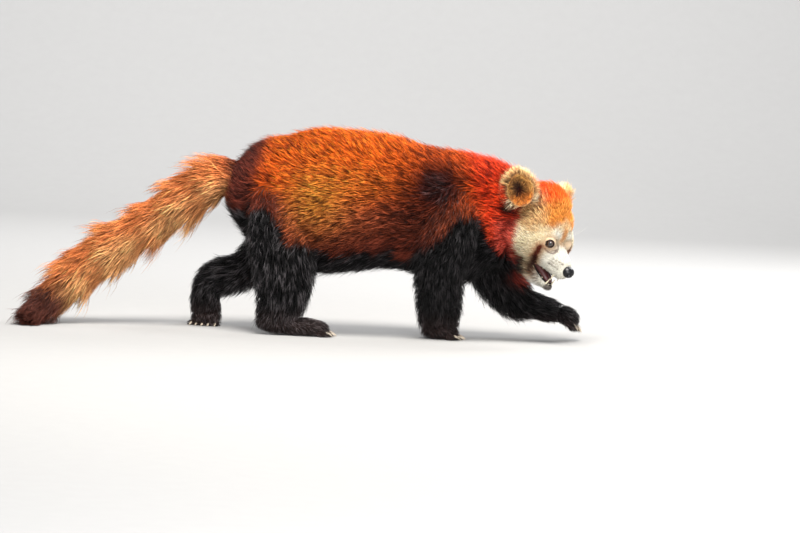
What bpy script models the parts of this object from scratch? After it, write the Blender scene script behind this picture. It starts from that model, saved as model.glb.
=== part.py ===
# A life-size still model of a red panda, walking on three feet with its left forefoot reaching.
# Metres, +Z up, +X towards the head, +Y to the animal's left. The origin is the middle of its footprint.
# The body is modelled whole and parted with thin cuts. The head and the paws are made finer by themselves.

import math
import random

import bmesh
import bpy
from mathutils import Matrix, Vector
from mathutils.bvhtree import BVHTree

MM = 0.001
GAP = 0.3  # mm between nodes that touch
FLAT = math.radians(0.2)  # faces that meet at less are one

# Stations are x, y, z of the middle, half the width, half the depth and the depth of the coat, in mm.
TORSO = (
    (-103, 0, 208, 26, 26, 8),
    (-88, 0, 204, 50, 52, 14),
    (-62, 0, 199, 66, 76, 18),
    (-25, 0, 190, 76, 94, 20),
    (15, 0, 186, 80, 103, 20),
    (60, 0, 188, 81, 101, 20),
    (105, 0, 188, 79, 96, 20),
    (150, 0, 181, 74, 91, 20),
    (195, 0, 173, 69, 94, 19),
    (235, 0, 167, 61, 92, 18),
    (262, 0, 160, 50, 76, 16),
    (286, 0, 150, 28, 46, 12),
)
NECK = (
    (205, 0, 198, 56, 62, 18),
    (238, -2, 196, 56, 63, 18),
    (268, -4, 188, 49, 60, 17),
    (296, -8, 178, 40, 52, 14),
    (318, -15, 168, 32, 40, 12),
)
TAIL = (
    (-88, 0, 216, 30, 28, 20),
    (-115, 0, 211, 35, 34, 22),
    (-140, 0, 202, 35, 34, 22),
    (-167, 0, 184, 34, 34, 22),
    (-193, 0, 163, 32, 32, 21),
    (-220, 0, 142, 31, 31, 21),
    (-252, -1, 121, 32, 32, 21),
    (-285, -3, 97, 33, 33, 21),
    (-315, -7, 71, 32, 31, 20),
    (-339, -16, 47, 28, 27, 18),
    (-357, -32, 29, 24, 23, 16),
    (-369, -54, 18, 20, 19, 13),
    (-376, -78, 11, 15, 13, 10),
    (-379, -100, 7, 7, 7, 4),
)
LEGS = {
    "hind_leg_right": (
        (-52, -50, 186, 22, 34, 8),
        (-42, -50, 160, 33, 45, 13),
        (-34, -52, 125, 36, 50, 13),
        (-28, -54, 92, 33, 47, 12),
        (-28, -55, 65, 28, 41, 10),
        (-31, -54, 44, 23, 37, 8),
        (-38, -53, 26, 20, 28, 5),
        (-42, -53, 16, 14, 17, 3),
    ),
    "hind_leg_left": (
        (-52, 50, 186, 22, 34, 8),
        (-46, 50, 155, 32, 41, 13),
        (-54, 50, 118, 33, 37, 13),
        (-84, 51, 82, 29, 32, 12),
        (-110, 52, 72, 26, 30, 9),
        (-130, 52, 63, 23, 27, 6),
        (-139, 52, 46, 21, 23, 5),
        (-140, 52, 28, 20, 22, 4),
        (-139, 52, 14, 17, 19, 3),
    ),
    "front_leg_right": (
        (208, -46, 196, 20, 34, 8),
        (203, -45, 165, 32, 47, 13),
        (192, -42, 125, 33, 45, 12),
        (187, -36, 92, 29, 38, 11),
        (188, -27, 62, 25, 35, 9),
        (189, -18, 38, 22, 32, 7),
        (189, -13, 20, 19, 26, 4),
        (189, -11, 12, 13, 18, 3),
    ),
    "front_leg_left": (
        (216, 46, 192, 20, 34, 8),
        (234, 46, 160, 32, 46, 13),
        (254, 48, 120, 33, 45, 12),
        (275, 51, 82, 29, 40, 11),
        (298, 51, 55, 24, 31, 9),
        (322, 50, 48, 20, 21, 6),
        (343, 49, 43, 17, 17, 3),
        (356, 48, 40, 14, 14, 2),
    ),
}

# A paw's pad: its middle, its heading and its nose-down tilt in degrees, then its length, width and height.
PAWS = {
    "paw_hind_right": {"at": (12, -51, 11), "heading": 2, "tilt": 0, "size": (50, 42, 25)},
    "paw_hind_left": {"at": (-139, 49, 12), "heading": -104, "tilt": 12, "size": (40, 44, 26)},
    "paw_front_right": {"at": (191, -11, 12), "heading": -4, "tilt": 0, "size": (52, 44, 28)},
    "paw_front_left": {"at": (371, 47, 35), "heading": -3, "tilt": 25, "size": (36, 38, 27)},
}
# Where each paw is cut from its leg: a point on the cut and the way the paw lies from it.
WRISTS = {
    "paw_hind_right": ((-20, -53, 22), (0.35, 0, -1)),
    "paw_hind_left": ((-139, 52, 27), (0, 0, -1)),
    "paw_front_right": ((189, -13, 25), (0, 0, -1)),
    "paw_front_left": ((352, 48, 41), (0.95, -0.05, -0.28)),
}
HIND_SOLE = (  # the long sole of the planted hind foot, from its raised heel to the toes
    (-60, -53, 22, 12, 11, 3),
    (-42, -53, 18, 16, 15, 3),
    (-16, -52, 13, 18, 14, 3),
    (8, -51, 12, 20, 13, 3),
    (22, -51, 11, 16, 10, 3),
)
TOES = 5
TOE = (9, 5.4, 6.2)  # half length, width and height
CLAW_LENGTH = 11
CLAW_ROOT = 1.9

# The head has its own frame: x along the muzzle, y to its left, z up, from the point between the eyes.
HEAD_AT = (353.5, -41, 140)
HEAD_TURN, HEAD_NOD, HEAD_TILT = -42, 37, -8  # to its right, down, and over
SKULL = {  # middle, half sizes and depth of coat
    "cranium": ((-48, 0, 0), (50, 48, 46), 8),
    "crown": ((-56, 0, 12), (42, 44, 44), 9),
    "occiput": ((-72, 0, 2), (34, 46, 42), 10),
    "cheek_left": ((-31, 27, -14), (34, 34, 31), 12),
    "cheek_right": ((-31, -27, -14), (34, 34, 31), 12),
    "brow_left": ((-13, 15, 9), (12, 13, 9), 3),
    "brow_right": ((-13, -15, 9), (12, 13, 9), 3),
}
MUZZLE = (
    (-24, 0, -18, 34, 26, 4),
    (-6, 0, -19, 27, 23, 3),
    (10, 0, -19.5, 19.5, 18.5, 2),
    (22, 0, -20.5, 16, 15, 2),
    (31, 0, -21.5, 12.5, 11, 1.5),
    (36, 0, -21.5, 6, 5.5, 1),
)
JAW = (
    (-42, 0, -38, 22, 12, 3),
    (-22, 0, -45, 19, 11, 3),
    (-2, 0, -51.5, 15, 9.5, 2.5),
    (14, 0, -56, 12, 8, 2),
    (24, 0, -57.5, 9.5, 7, 2),
    (30, 0, -57, 4, 4, 1),
)
TONGUE = (
    (-14, 0, -41, 8, 3, 0),
    (0, 0, -43.5, 8.5, 3, 0),
    (14, 0, -47, 7.5, 2.6, 0),
    (22, 0, -49, 4, 1.6, 0),
)
EYE_AT, EYE_RADIUS = (-4.5, 20, -1), 6.6
EYE_OUT = 38  # degrees that each eye looks out to its side
LID_THICK = 1.5
EYE_OPENING = (6.3, 5.9)  # half the width and height of the gap between the lids
NOSE_AT, NOSE_SIZE = (35.5, 0, -18.5), (7, 8.6, 6.6)
NOSTRIL = (2.0, 4.6)  # its radius and its distance from the middle
EAR_AT = (-63, 54, 23)
EAR_UP, EAR_FACES = (-0.68, 0.33, 0.65), (0.54, 0.74, 0.39)
EAR_SIZE = (21, 27)  # half width and half height
EAR_RINGS = (  # share of the outline's size and how far ahead, from the back to the bottom of the hollow
    (0.25, -12),
    (0.6, -10.5),
    (0.86, -7),
    (0.98, -1),
    (1.0, 5),
    (0.95, 7),
    (0.88, 5.5),
    (0.8, 1),
    (0.6, -3.5),
    (0.25, -5.5),
)
CANINES = {"upper": (25, 8.5, -33, -7), "lower": (22, 6.5, -51, 6)}  # x, y, z and length
TOOTH_ROOT = 1.6

NECK_CUT = ((243, -3, 196), (1, -0.06, -0.12))
HEAD_CUT = ((306, -13, 178), (1, -0.30, -0.15))
TAIL_ROOT = {"station": 1, "radii": (27, 38, 52)}  # the cut round the tail's root, widening behind it
LEG_CLEAR = 7  # mm from a leg's own sizes to the cut round it

CORE = 0.5  # the share of the coat's depth that is locks, outside the cores
LOCKS = {  # the way they lie, first and last root, step, number round, length and width
    "torso": {"lie": -1, "from": 48, "to": 384, "step": 56, "round": 7, "long": 100, "wide": 78},
    "neck": {"lie": -1, "from": 58, "to": 112, "step": 46, "round": 5, "long": 70, "wide": 62},
    "tail": {"lie": 1, "from": 3, "to": 396, "step": 52, "round": 5, "long": 92, "wide": 50},
}
LOCK_THICK = 8
LOCK_SHAPE = (  # along a lock, its width there and the share of the coat's depth that is outside it
    (0.0, 0.7, 0.9),
    (0.3, 1.0, 0.28),
    (0.68, 0.82, 0.07),
    (1.0, 0.0, 0.0),
)

BODY_VOXEL, FINE_VOXEL = 5, 2
BODY_FACES, HEAD_FACES, PAW_FACES = 2000, 1600, 260


def clear_scene():
    for obj in list(bpy.data.objects):
        bpy.data.objects.remove(obj)


def material(name, colour, roughness):
    made = bpy.data.materials.new(name)
    made.use_nodes = True
    shader = made.node_tree.nodes["Principled BSDF"]
    shader.inputs["Base Color"].default_value = (*colour, 1)
    shader.inputs["Roughness"].default_value = roughness
    shader.inputs["Metallic"].default_value = 0
    return made


def add_object(name, bm):
    """The shape in bm as an object of that name, with its millimetres made metres."""
    bmesh.ops.recalc_face_normals(bm, faces=bm.faces)
    bm.transform(Matrix.Scale(MM, 4))
    mesh = bpy.data.meshes.new(name)
    bm.to_mesh(mesh)
    bm.free()
    obj = bpy.data.objects.new(name, mesh)
    bpy.context.scene.collection.objects.link(obj)
    return obj


def copy_of(obj, name):
    made = bpy.data.objects.new(name, obj.data.copy())
    bpy.context.scene.collection.objects.link(made)
    return made


def apply_modifiers(obj):
    graph = bpy.context.evaluated_depsgraph_get()
    graph.update()
    mesh = bpy.data.meshes.new_from_object(obj.evaluated_get(graph))
    obj.modifiers.clear()
    obj.data = mesh


def through(stations, steps):
    """The stations of a smooth curve through these, with steps to a stretch."""
    line = []
    for i in range(len(stations) - 1):
        a, b = stations[max(i - 1, 0)], stations[i]
        c, d = stations[i + 1], stations[min(i + 2, len(stations) - 1)]
        for k in range(steps):
            t = k / steps
            line.append([
                0.5 * (2 * q + (r - p) * t + (2 * p - 5 * q + 4 * r - s) * t * t
                       + (3 * q - p - 3 * r + s) * t ** 3)
                for p, q, r, s in zip(a, b, c, d)
            ])
    line.append(list(stations[-1]))
    return line


def frame_at(line, i):
    """The middle, the way along, the way across and the way up at station i of a line."""
    here = Vector(line[i][:3])
    along = Vector(line[min(i + 1, len(line) - 1)][:3]) - Vector(line[max(i - 1, 0)][:3])
    along.normalize()
    across = Vector((0, 1, 0))
    if abs(along.y) > 0.9:
        across = Vector((-1, 0, 0))
    across = (across - along * across.dot(along)).normalized()
    return here, along, across, along.cross(across)


def add_tube(bm, stations, share=0.0, swell=0.0, sides=20, steps=3):
    """A closed tube of elliptic rings, less that share of the coat, plus swell in mm."""
    line = through(stations, steps)
    rings = []
    for i, (_, _, _, wide, deep, coat) in enumerate(line):
        here, along, across, up = frame_at(line, i)
        wide = max(wide - share * coat, 0.5) + swell
        deep = max(deep - share * coat, 0.5) + swell
        turn = Matrix((across, up, along)).transposed().to_4x4()
        size = Matrix.Diagonal((wide, deep, 1, 1))
        ring = bmesh.ops.create_circle(
            bm, cap_ends=i in (0, len(line) - 1), segments=sides, radius=1,
            matrix=Matrix.Translation(here) @ turn @ size,
        )
        rings.append(ring["verts"])
    for low, high in zip(rings, rings[1:]):
        edges = {e for v in low for e in v.link_edges if e.other_vert(v) in low}
        edges |= {e for v in high for e in v.link_edges if e.other_vert(v) in high}
        bmesh.ops.bridge_loops(bm, edges=list(edges))


def add_ellipsoid(bm, at, size, turn=None, segments=24, rings=16):
    place = Matrix.Translation(at) @ (turn or Matrix.Identity(4)) @ Matrix.Diagonal((*size, 1))
    return bmesh.ops.create_uvsphere(
        bm, u_segments=segments, v_segments=rings, radius=1, matrix=place
    )["verts"]


def add_cone(bm, root, tip, radius, sides=6):
    """A spike from root to tip, as a claw or a tooth."""
    way = Vector(tip) - Vector(root)
    place = Matrix.Translation((Vector(root) + Vector(tip)) / 2) @ way.to_track_quat("Z", "Y").to_matrix().to_4x4()
    bmesh.ops.create_cone(
        bm, cap_ends=True, segments=sides, radius1=radius, radius2=0.25, depth=way.length, matrix=place
    )


def fuse_skin(obj, voxel, smooth, faces):
    """One smooth closed surface round all that overlaps in the object, of about that many triangles."""
    remesh = obj.modifiers.new("skin", "REMESH")
    remesh.mode = "VOXEL"
    remesh.voxel_size = voxel * MM
    ease = obj.modifiers.new("ease", "SMOOTH")
    ease.factor = 0.5
    ease.iterations = smooth
    apply_modifiers(obj)
    thin = obj.modifiers.new("thin", "DECIMATE")
    thin.ratio = min(1.0, faces / (2 * len(obj.data.polygons)))
    apply_modifiers(obj)


def boolean(obj, other, operation, solver="MANIFOLD"):
    """Joins or cuts obj by the other shape. The exact solver leaves open edges at the lids and the nose."""
    cut = obj.modifiers.new(operation, "BOOLEAN")
    cut.operation = operation
    cut.object = other
    cut.solver = solver
    apply_modifiers(obj)


def keep_largest(obj):
    """Drops all but the surface that holds most."""
    bm = bmesh.new()
    bm.from_mesh(obj.data)
    left, shells = set(bm.faces), []
    while left:
        shell, edge = set(), [left.pop()]
        while edge:
            face = edge.pop()
            shell.add(face)
            for near in {f for e in face.edges for f in e.link_faces} & left:
                left.discard(near)
                edge.append(near)
        shells.append(shell)
    shells.sort(key=lambda shell: sum(f.calc_area() for f in shell))
    bmesh.ops.delete(bm, geom=[f for shell in shells[:-1] for f in shell], context="FACES")
    bmesh.ops.dissolve_limit(bm, angle_limit=FLAT, verts=bm.verts, edges=bm.edges, delimit=set())
    bmesh.ops.triangulate(bm, faces=bm.faces)
    bm.to_mesh(obj.data)
    bm.free()


def grown(obj, by):
    """A copy of the object with its skin moved out by this many mm."""
    made = copy_of(obj, "grown")
    bm = bmesh.new()
    bm.from_mesh(made.data)
    bm.normal_update()
    for v in bm.verts:
        v.co += v.normal * by * MM * v.calc_shell_factor()
    bm.to_mesh(made.data)
    bm.free()
    return made


def lock_template():
    """A three-sided spike one unit long with rings along it, to be bent into a lock with a ridge down it."""
    bm = bmesh.new()
    bmesh.ops.create_cone(
        bm, cap_ends=True, segments=3, radius1=1, radius2=0, depth=1, matrix=Matrix.Translation((0, 0, 0.5))
    )
    for rise, _, _ in LOCK_SHAPE[1:-1]:
        geometry = [*bm.verts, *bm.edges, *bm.faces]
        bmesh.ops.bisect_plane(bm, geom=geometry, plane_co=(0, 0, rise), plane_no=(0, 0, 1))
    bmesh.ops.triangulate(bm, faces=bm.faces)
    mesh = bpy.data.meshes.new("lock")
    bm.to_mesh(mesh)
    bm.free()
    return mesh


def add_lock(template, place):
    """A lock with each point of the spike set by place(along, across, out, share)."""
    bm = bmesh.new()
    bm.from_mesh(template)
    for v in bm.verts:
        along, wide, share = min(LOCK_SHAPE, key=lambda station: abs(station[0] - v.co.z))
        grow = wide / max(1 - along, 0.01)
        v.co = place(along, v.co.x * grow, v.co.y * grow, share)
    return add_object("lock", bm)


def measured(stations):
    """A smooth line through the stations, and how far along it each of its stations is."""
    line = through(stations, 6)
    far = [0.0]
    for a, b in zip(line, line[1:]):
        far.append(far[-1] + (Vector(b[:3]) - Vector(a[:3])).length)
    return line, far


def on_surface(line, far, distance, angle, share):
    """The point at that distance and angle, sunk by a share of the coat's depth."""
    distance = min(max(distance, 0), far[-1])
    i = max(k for k in range(len(far) - 1) if far[k] <= distance)
    part = (distance - far[i]) / (far[i + 1] - far[i])
    ends = []
    for k in (i, i + 1):
        here, _, across, up = frame_at(line, k)
        wide, deep, coat = line[k][3:]
        out = across * math.cos(angle) * (wide - share * coat) + up * math.sin(angle) * (deep - share * coat)
        ends.append(here + out)
    return ends[0].lerp(ends[1], part)


def tube_locks(template, stations, sizes):
    """The locks of one limb, in staggered rows along it."""
    line, far = measured(stations)
    locks = []
    rows = int((sizes["to"] - sizes["from"]) / sizes["step"]) + 1
    for row in range(rows):
        for k in range(sizes["round"]):
            root = max(0, sizes["from"] + sizes["step"] * (row + random.uniform(-0.15, 0.15)))
            angle = math.tau * (k + 0.5 * (row % 2) + random.uniform(-0.12, 0.12)) / sizes["round"]
            room = root if sizes["lie"] < 0 else far[-1] - root
            long = min(sizes["long"] * random.uniform(0.88, 1.12), 0.9 * room)
            swing = random.uniform(-0.10, 0.10)
            if long < 0.4 * sizes["long"]:
                continue
            i = max(k for k in range(len(far)) if far[k] <= root)
            wide, deep, coat = line[i][3:]
            coat = max(coat, 6)
            spread = min(sizes["wide"] / (wide + deep), 0.7)

            def place(along, across, out, share):
                turned = angle + across * spread + swing * along
                share += (along == 0) * 3 / coat - out * LOCK_THICK / 2 / coat
                return on_surface(line, far, root + sizes["lie"] * long * along, turned, share)

            lock = add_lock(template, place)
            if crosses_itself(lock):
                bpy.data.objects.remove(lock)
            else:
                locks.append(lock)
    return locks


def crosses_itself(obj):
    """Whether two faces of the object meet that share no corner, as where it is bent too hard."""
    bm = bmesh.new()
    bm.from_mesh(obj.data)
    bm.faces.ensure_lookup_table()
    tree = BVHTree.FromBMesh(bm)
    corners = [set(face.verts) for face in bm.faces]
    meet = any(not corners[a] & corners[b] for a, b in tree.overlap(tree))
    bm.free()
    return meet


def fuse(obj, pieces):
    """Joins the pieces to the object in one union, and takes their own objects away."""
    group = bpy.data.collections.new("pieces")
    bpy.context.scene.collection.children.link(group)
    for piece in pieces:
        bpy.context.scene.collection.objects.unlink(piece)
        group.objects.link(piece)
    join = obj.modifiers.new("join", "BOOLEAN")
    join.operation = "UNION"
    join.operand_type = "COLLECTION"
    join.collection = group
    join.solver = "EXACT"
    apply_modifiers(obj)
    for piece in pieces:
        bpy.data.objects.remove(piece)
    bpy.data.collections.remove(group)
    keep_largest(obj)


def cut_by_tube(obj, stations, swell, operation):
    """Keeps or cuts away what lies inside a tube. One that cuts away is larger by the gap."""
    more = GAP if operation == "DIFFERENCE" else 0
    back = Vector(stations[0][:3]) - Vector(stations[1][:3])
    first = (*(Vector(stations[0][:3]) + back.normalized() * more), *stations[0][3:])
    bm = bmesh.new()
    add_tube(bm, (first, *stations[1:]), swell=swell + more, sides=10, steps=1)
    cutter = add_object("cutter", bm)
    boolean(obj, cutter, operation, "EXACT")
    bpy.data.objects.remove(cutter)
    keep_largest(obj)


def part_off(rest, name, stations):
    """Takes what lies inside a tube off the rest as a node of its own, across a thin gap."""
    piece = copy_of(rest, name)
    cut_by_tube(piece, stations, 0, "INTERSECT")
    cut_by_tube(rest, stations, 0, "DIFFERENCE")
    return piece


def straight(cut, radius, length):
    """The stations of a straight tube from a cut's plane, the way it faces."""
    point, way = Vector(cut[0]), Vector(cut[1]).normalized()
    return [(*(point + way * s * length), radius, radius, 0) for s in (0, 0.5, 1)]


def head_frame():
    turn = Matrix.Rotation(math.radians(HEAD_TURN), 4, "Z")
    nod = Matrix.Rotation(math.radians(HEAD_NOD), 4, "Y")
    tilt = Matrix.Rotation(math.radians(HEAD_TILT), 4, "X")
    return Matrix.Translation(HEAD_AT) @ turn @ nod @ tilt


def paw_frame(paw):
    turn = Matrix.Rotation(math.radians(paw["heading"]), 4, "Z")
    tilt = Matrix.Rotation(math.radians(paw["tilt"]), 4, "Y")
    return Matrix.Translation(paw["at"]) @ turn @ tilt


def mirrored(point, side):
    return (point[0], point[1] * side, point[2])


def make_body():
    """Torso, neck, legs and tail as one skin."""
    bm = bmesh.new()
    for stations in (TORSO, NECK, TAIL):
        add_tube(bm, stations, share=CORE)
    for stations in LEGS.values():
        add_tube(bm, stations)
    body = add_object("torso", bm)
    fuse_skin(body, BODY_VOXEL, 8, BODY_FACES)
    keep_largest(body)
    return body


def add_locks(body):
    """The long coat of the torso, neck and tail."""
    template = lock_template()
    locks = []
    for name, stations in (("torso", TORSO), ("neck", NECK), ("tail", TAIL)):
        locks += tube_locks(template, stations, LOCKS[name])
    fuse(body, locks)


def tail_region():
    """All round the tail, but narrow at its root, so that the rump's locks hang over it."""
    line = through(TAIL, 1)[TAIL_ROOT["station"]:]
    beyond = 2 * Vector(line[-1][:3]) - Vector(line[-2][:3])
    line.append((*beyond, 0, 0, 0))
    radii = [*TAIL_ROOT["radii"], *[62] * len(line)]
    return [(*station[:3], radius, radius, 0) for station, radius in zip(line, radii)]


def leg_region(stations):
    end = Vector(stations[-1][:3]) * 2 - Vector(stations[-2][:3])
    return [*stations, (*end, *stations[-1][3:])]


def part_body(body):
    """The body's nodes, parted with thin cuts. What is left is the torso. The long coat ends at the legs."""
    pieces = []
    for name, stations in LEGS.items():
        leg = copy_of(body, name)
        cut_by_tube(leg, leg_region(stations), LEG_CLEAR, "INTERSECT")
        pieces.append(leg)
    add_locks(body)
    for stations in LEGS.values():
        cut_by_tube(body, leg_region(stations), LEG_CLEAR, "DIFFERENCE")
    pieces.append(part_off(body, "tail", tail_region()))
    neck = part_off(body, "neck", straight(NECK_CUT, 72, 120))
    bm = bmesh.new()
    ahead = straight(HEAD_CUT, 90, 120)
    ahead[0] = (*(Vector(ahead[0][:3]) - Vector(HEAD_CUT[1]).normalized() * GAP), *ahead[0][3:])
    add_tube(bm, ahead)
    cutter = add_object("cutter", bm)
    boolean(neck, cutter, "DIFFERENCE")
    bpy.data.objects.remove(cutter)
    keep_largest(neck)
    pieces.append(neck)
    return pieces


def make_paw(name, paw, leg):
    """A paw with its toes and claws, cut level with the floor."""
    bm = bmesh.new()
    place = paw_frame(paw)
    long, wide, high = (s / 2 for s in paw["size"])
    for v in add_ellipsoid(bm, (0, 0, 0), (long, wide, high)):
        v.co = place @ v.co
    add_tube(bm, LEGS[leg][-5:])
    if name == "paw_hind_right":
        add_tube(bm, HIND_SOLE)
    tips = []
    for i in range(TOES):
        side = i - (TOES - 1) / 2
        middle = Vector((long - 4 - 1.3 * side * side, side * wide * 0.40, TOE[2] - high - 0.6))
        for v in add_ellipsoid(bm, middle, TOE, segments=14, rings=10):
            v.co = place @ v.co
        tips.append((middle, side))
    obj = add_object(name, bm)
    fuse_skin(obj, FINE_VOXEL, 2, PAW_FACES)
    for middle, side in tips:
        bm = bmesh.new()
        root = middle + Vector((TOE[0] - 4, 0, 1.5))
        tip = root + Vector((CLAW_LENGTH * 0.9, side * 0.6, -CLAW_LENGTH * 0.42))
        add_cone(bm, place @ root, place @ tip, CLAW_ROOT)
        claw = add_object("claw", bm)
        boolean(obj, claw, "UNION")
        bpy.data.objects.remove(claw)
    return obj


def make_paws():
    paws = []
    for name, paw in PAWS.items():
        part = name[len("paw_"):].split("_")
        whole = make_paw(name, paw, f"{part[0]}_leg_{part[1]}")
        bm = bmesh.new()
        add_tube(bm, straight(WRISTS[name], 70, 90))
        cutter = add_object("cutter", bm)
        boolean(whole, cutter, "INTERSECT")
        bpy.data.objects.remove(cutter)
        keep_largest(whole)
        paws.append(whole)
    return paws


def cut_wrists(nodes):
    for name, cut in WRISTS.items():
        part = name[len("paw_"):].split("_")
        leg = nodes[f"{part[0]}_leg_{part[1]}"]
        ahead = straight(cut, 70, 90)
        ahead[0] = (*(Vector(ahead[0][:3]) - Vector(cut[1]).normalized() * GAP), *ahead[0][3:])
        bm = bmesh.new()
        add_tube(bm, ahead)
        cutter = add_object("cutter", bm)
        boolean(leg, cutter, "DIFFERENCE")
        bpy.data.objects.remove(cutter)
        keep_largest(leg)


def make_head():
    """The skull, cheeks and muzzle with sockets for the eyes and the nose, and lids round each eye."""
    place = head_frame()
    bm = bmesh.new()
    for at, size, _ in SKULL.values():
        add_ellipsoid(bm, at, size)
    add_tube(bm, MUZZLE)
    bm.transform(place)
    add_tube(bm, NECK[2:])
    head = add_object("head", bm)
    fuse_skin(head, FINE_VOXEL, 5, HEAD_FACES)
    ahead = straight(HEAD_CUT, 130, 200)
    bm = bmesh.new()
    add_tube(bm, ahead)
    cutter = add_object("cutter", bm)
    boolean(head, cutter, "INTERSECT")
    bpy.data.objects.remove(cutter)
    for side in (1, -1):
        add_lids(head, side)
        bm = bmesh.new()
        add_ellipsoid(bm, mirrored(EYE_AT, side), [EYE_RADIUS + GAP] * 3, segments=14, rings=9)
        bm.transform(place)
        socket = add_object("socket", bm)
        boolean(head, socket, "DIFFERENCE")
        bpy.data.objects.remove(socket)
    keep_largest(head)
    return head


def eye_frame(side):
    look = Matrix.Rotation(math.radians(EYE_OUT * side), 4, "Z")
    return head_frame() @ Matrix.Translation(mirrored(EYE_AT, side)) @ look


def add_lids(head, side):
    """A thick shell round the eyeball, open where the eye looks out."""
    bm = bmesh.new()
    add_ellipsoid(bm, (0, 0, 0), [EYE_RADIUS + LID_THICK] * 3, segments=16, rings=10)
    bm.transform(eye_frame(side))
    lids = add_object("lids", bm)
    bm = bmesh.new()
    add_ellipsoid(bm, (EYE_RADIUS, 0, 0), (5, *EYE_OPENING), segments=14, rings=8)
    bm.transform(eye_frame(side))
    opening = add_object("opening", bm)
    boolean(head, lids, "UNION")
    boolean(head, opening, "DIFFERENCE")
    bpy.data.objects.remove(lids)
    bpy.data.objects.remove(opening)


def make_eye(name, side):
    bm = bmesh.new()
    add_ellipsoid(bm, (0, 0, 0), [EYE_RADIUS] * 3, Matrix.Rotation(math.pi / 2, 4, "Y"), 14, 8)
    bm.transform(eye_frame(side))
    return add_object(name, bm)


def make_nose(head):
    """The bare nose, with a nostril in each side, set into the tip of the muzzle."""
    place = head_frame()
    bm = bmesh.new()
    add_ellipsoid(bm, NOSE_AT, NOSE_SIZE, segments=14, rings=9)
    bm.transform(place)
    nose = add_object("nose", bm)
    for side in (1, -1):
        bm = bmesh.new()
        at = (NOSE_AT[0] + NOSE_SIZE[0] * 0.86, side * NOSTRIL[1], NOSE_AT[2] - 1)
        add_ellipsoid(bm, at, (3, NOSTRIL[0], NOSTRIL[0] * 0.8), segments=8, rings=6)
        bm.transform(place)
        nostril = add_object("nostril", bm)
        boolean(nose, nostril, "DIFFERENCE")
        bpy.data.objects.remove(nostril)
    wide = grown(nose, GAP)
    boolean(head, wide, "DIFFERENCE")
    bpy.data.objects.remove(wide)
    keep_largest(head)
    return nose


def make_tube_node(name, stations, sides):
    bm = bmesh.new()
    add_tube(bm, stations, sides=sides, steps=2)
    bm.transform(head_frame())
    return add_object(name, bm)


def cut_clear(obj, other):
    """Cuts obj back to lie face to face with the other."""
    wide = grown(other, GAP)
    boolean(obj, wide, "DIFFERENCE")
    bpy.data.objects.remove(wide)
    keep_largest(obj)


def add_teeth(obj, which):
    x, y, z, long = CANINES[which]
    for side in (1, -1):
        bm = bmesh.new()
        add_cone(bm, (x, y * side, z - long * 0.5), (x + 1, y * side, z + long), TOOTH_ROOT)
        bm.transform(head_frame())
        tooth = add_object("tooth", bm)
        boolean(obj, tooth, "UNION")
        bpy.data.objects.remove(tooth)


def make_ear(name, side):
    """A pointed cup that opens forwards and outwards, lofted down its back, over its rim and into its hollow."""
    up = Vector(mirrored(EAR_UP, side)).normalized()
    faces = Vector(mirrored(EAR_FACES, side))
    faces = (faces - up * faces.dot(up)).normalized()
    turn = Matrix((faces.cross(up), faces, up)).transposed().to_4x4()
    place = head_frame() @ Matrix.Translation(mirrored(EAR_AT, side)) @ turn
    wide, high = EAR_SIZE
    bm = bmesh.new()
    rings = []
    for i, (share, ahead) in enumerate(EAR_RINGS):
        ring = bmesh.ops.create_circle(bm, cap_ends=i in (0, len(EAR_RINGS) - 1), segments=18, radius=1)["verts"]
        for v in ring:
            across, rise = v.co.x, v.co.y
            across *= 1.06 - 0.42 * max(0.0, rise) ** 2
            v.co = place @ Vector((share * wide * across, ahead, high * (0.55 + share * rise)))
        rings.append(ring)
    for low, above in zip(rings, rings[1:]):
        edges = {e for v in low for e in v.link_edges if e.other_vert(v) in low}
        edges |= {e for v in above for e in v.link_edges if e.other_vert(v) in above}
        bmesh.ops.bridge_loops(bm, edges=list(edges))
    return add_object(name, bm)


def level_with_floor(obj):
    bm = bmesh.new()
    bmesh.ops.create_cube(bm, size=1, matrix=Matrix.Translation((0, 0, -50)) @ Matrix.Diagonal((1200, 600, 100, 1)))
    floor = add_object("floor", bm)
    boolean(obj, floor, "DIFFERENCE")
    bpy.data.objects.remove(floor)
    keep_largest(obj)


def centre(nodes):
    """Moves the whole so that the origin is the middle of its box, on the floor."""
    points = [v.co for obj in nodes for v in obj.data.vertices]
    middle = [(min(p[i] for p in points) + max(p[i] for p in points)) / 2 for i in (0, 1)]
    for obj in nodes:
        obj.data.transform(Matrix.Translation((-middle[0], -middle[1], 0)))
        obj.data.shade_smooth()
    print("centre moved by", middle)


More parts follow.
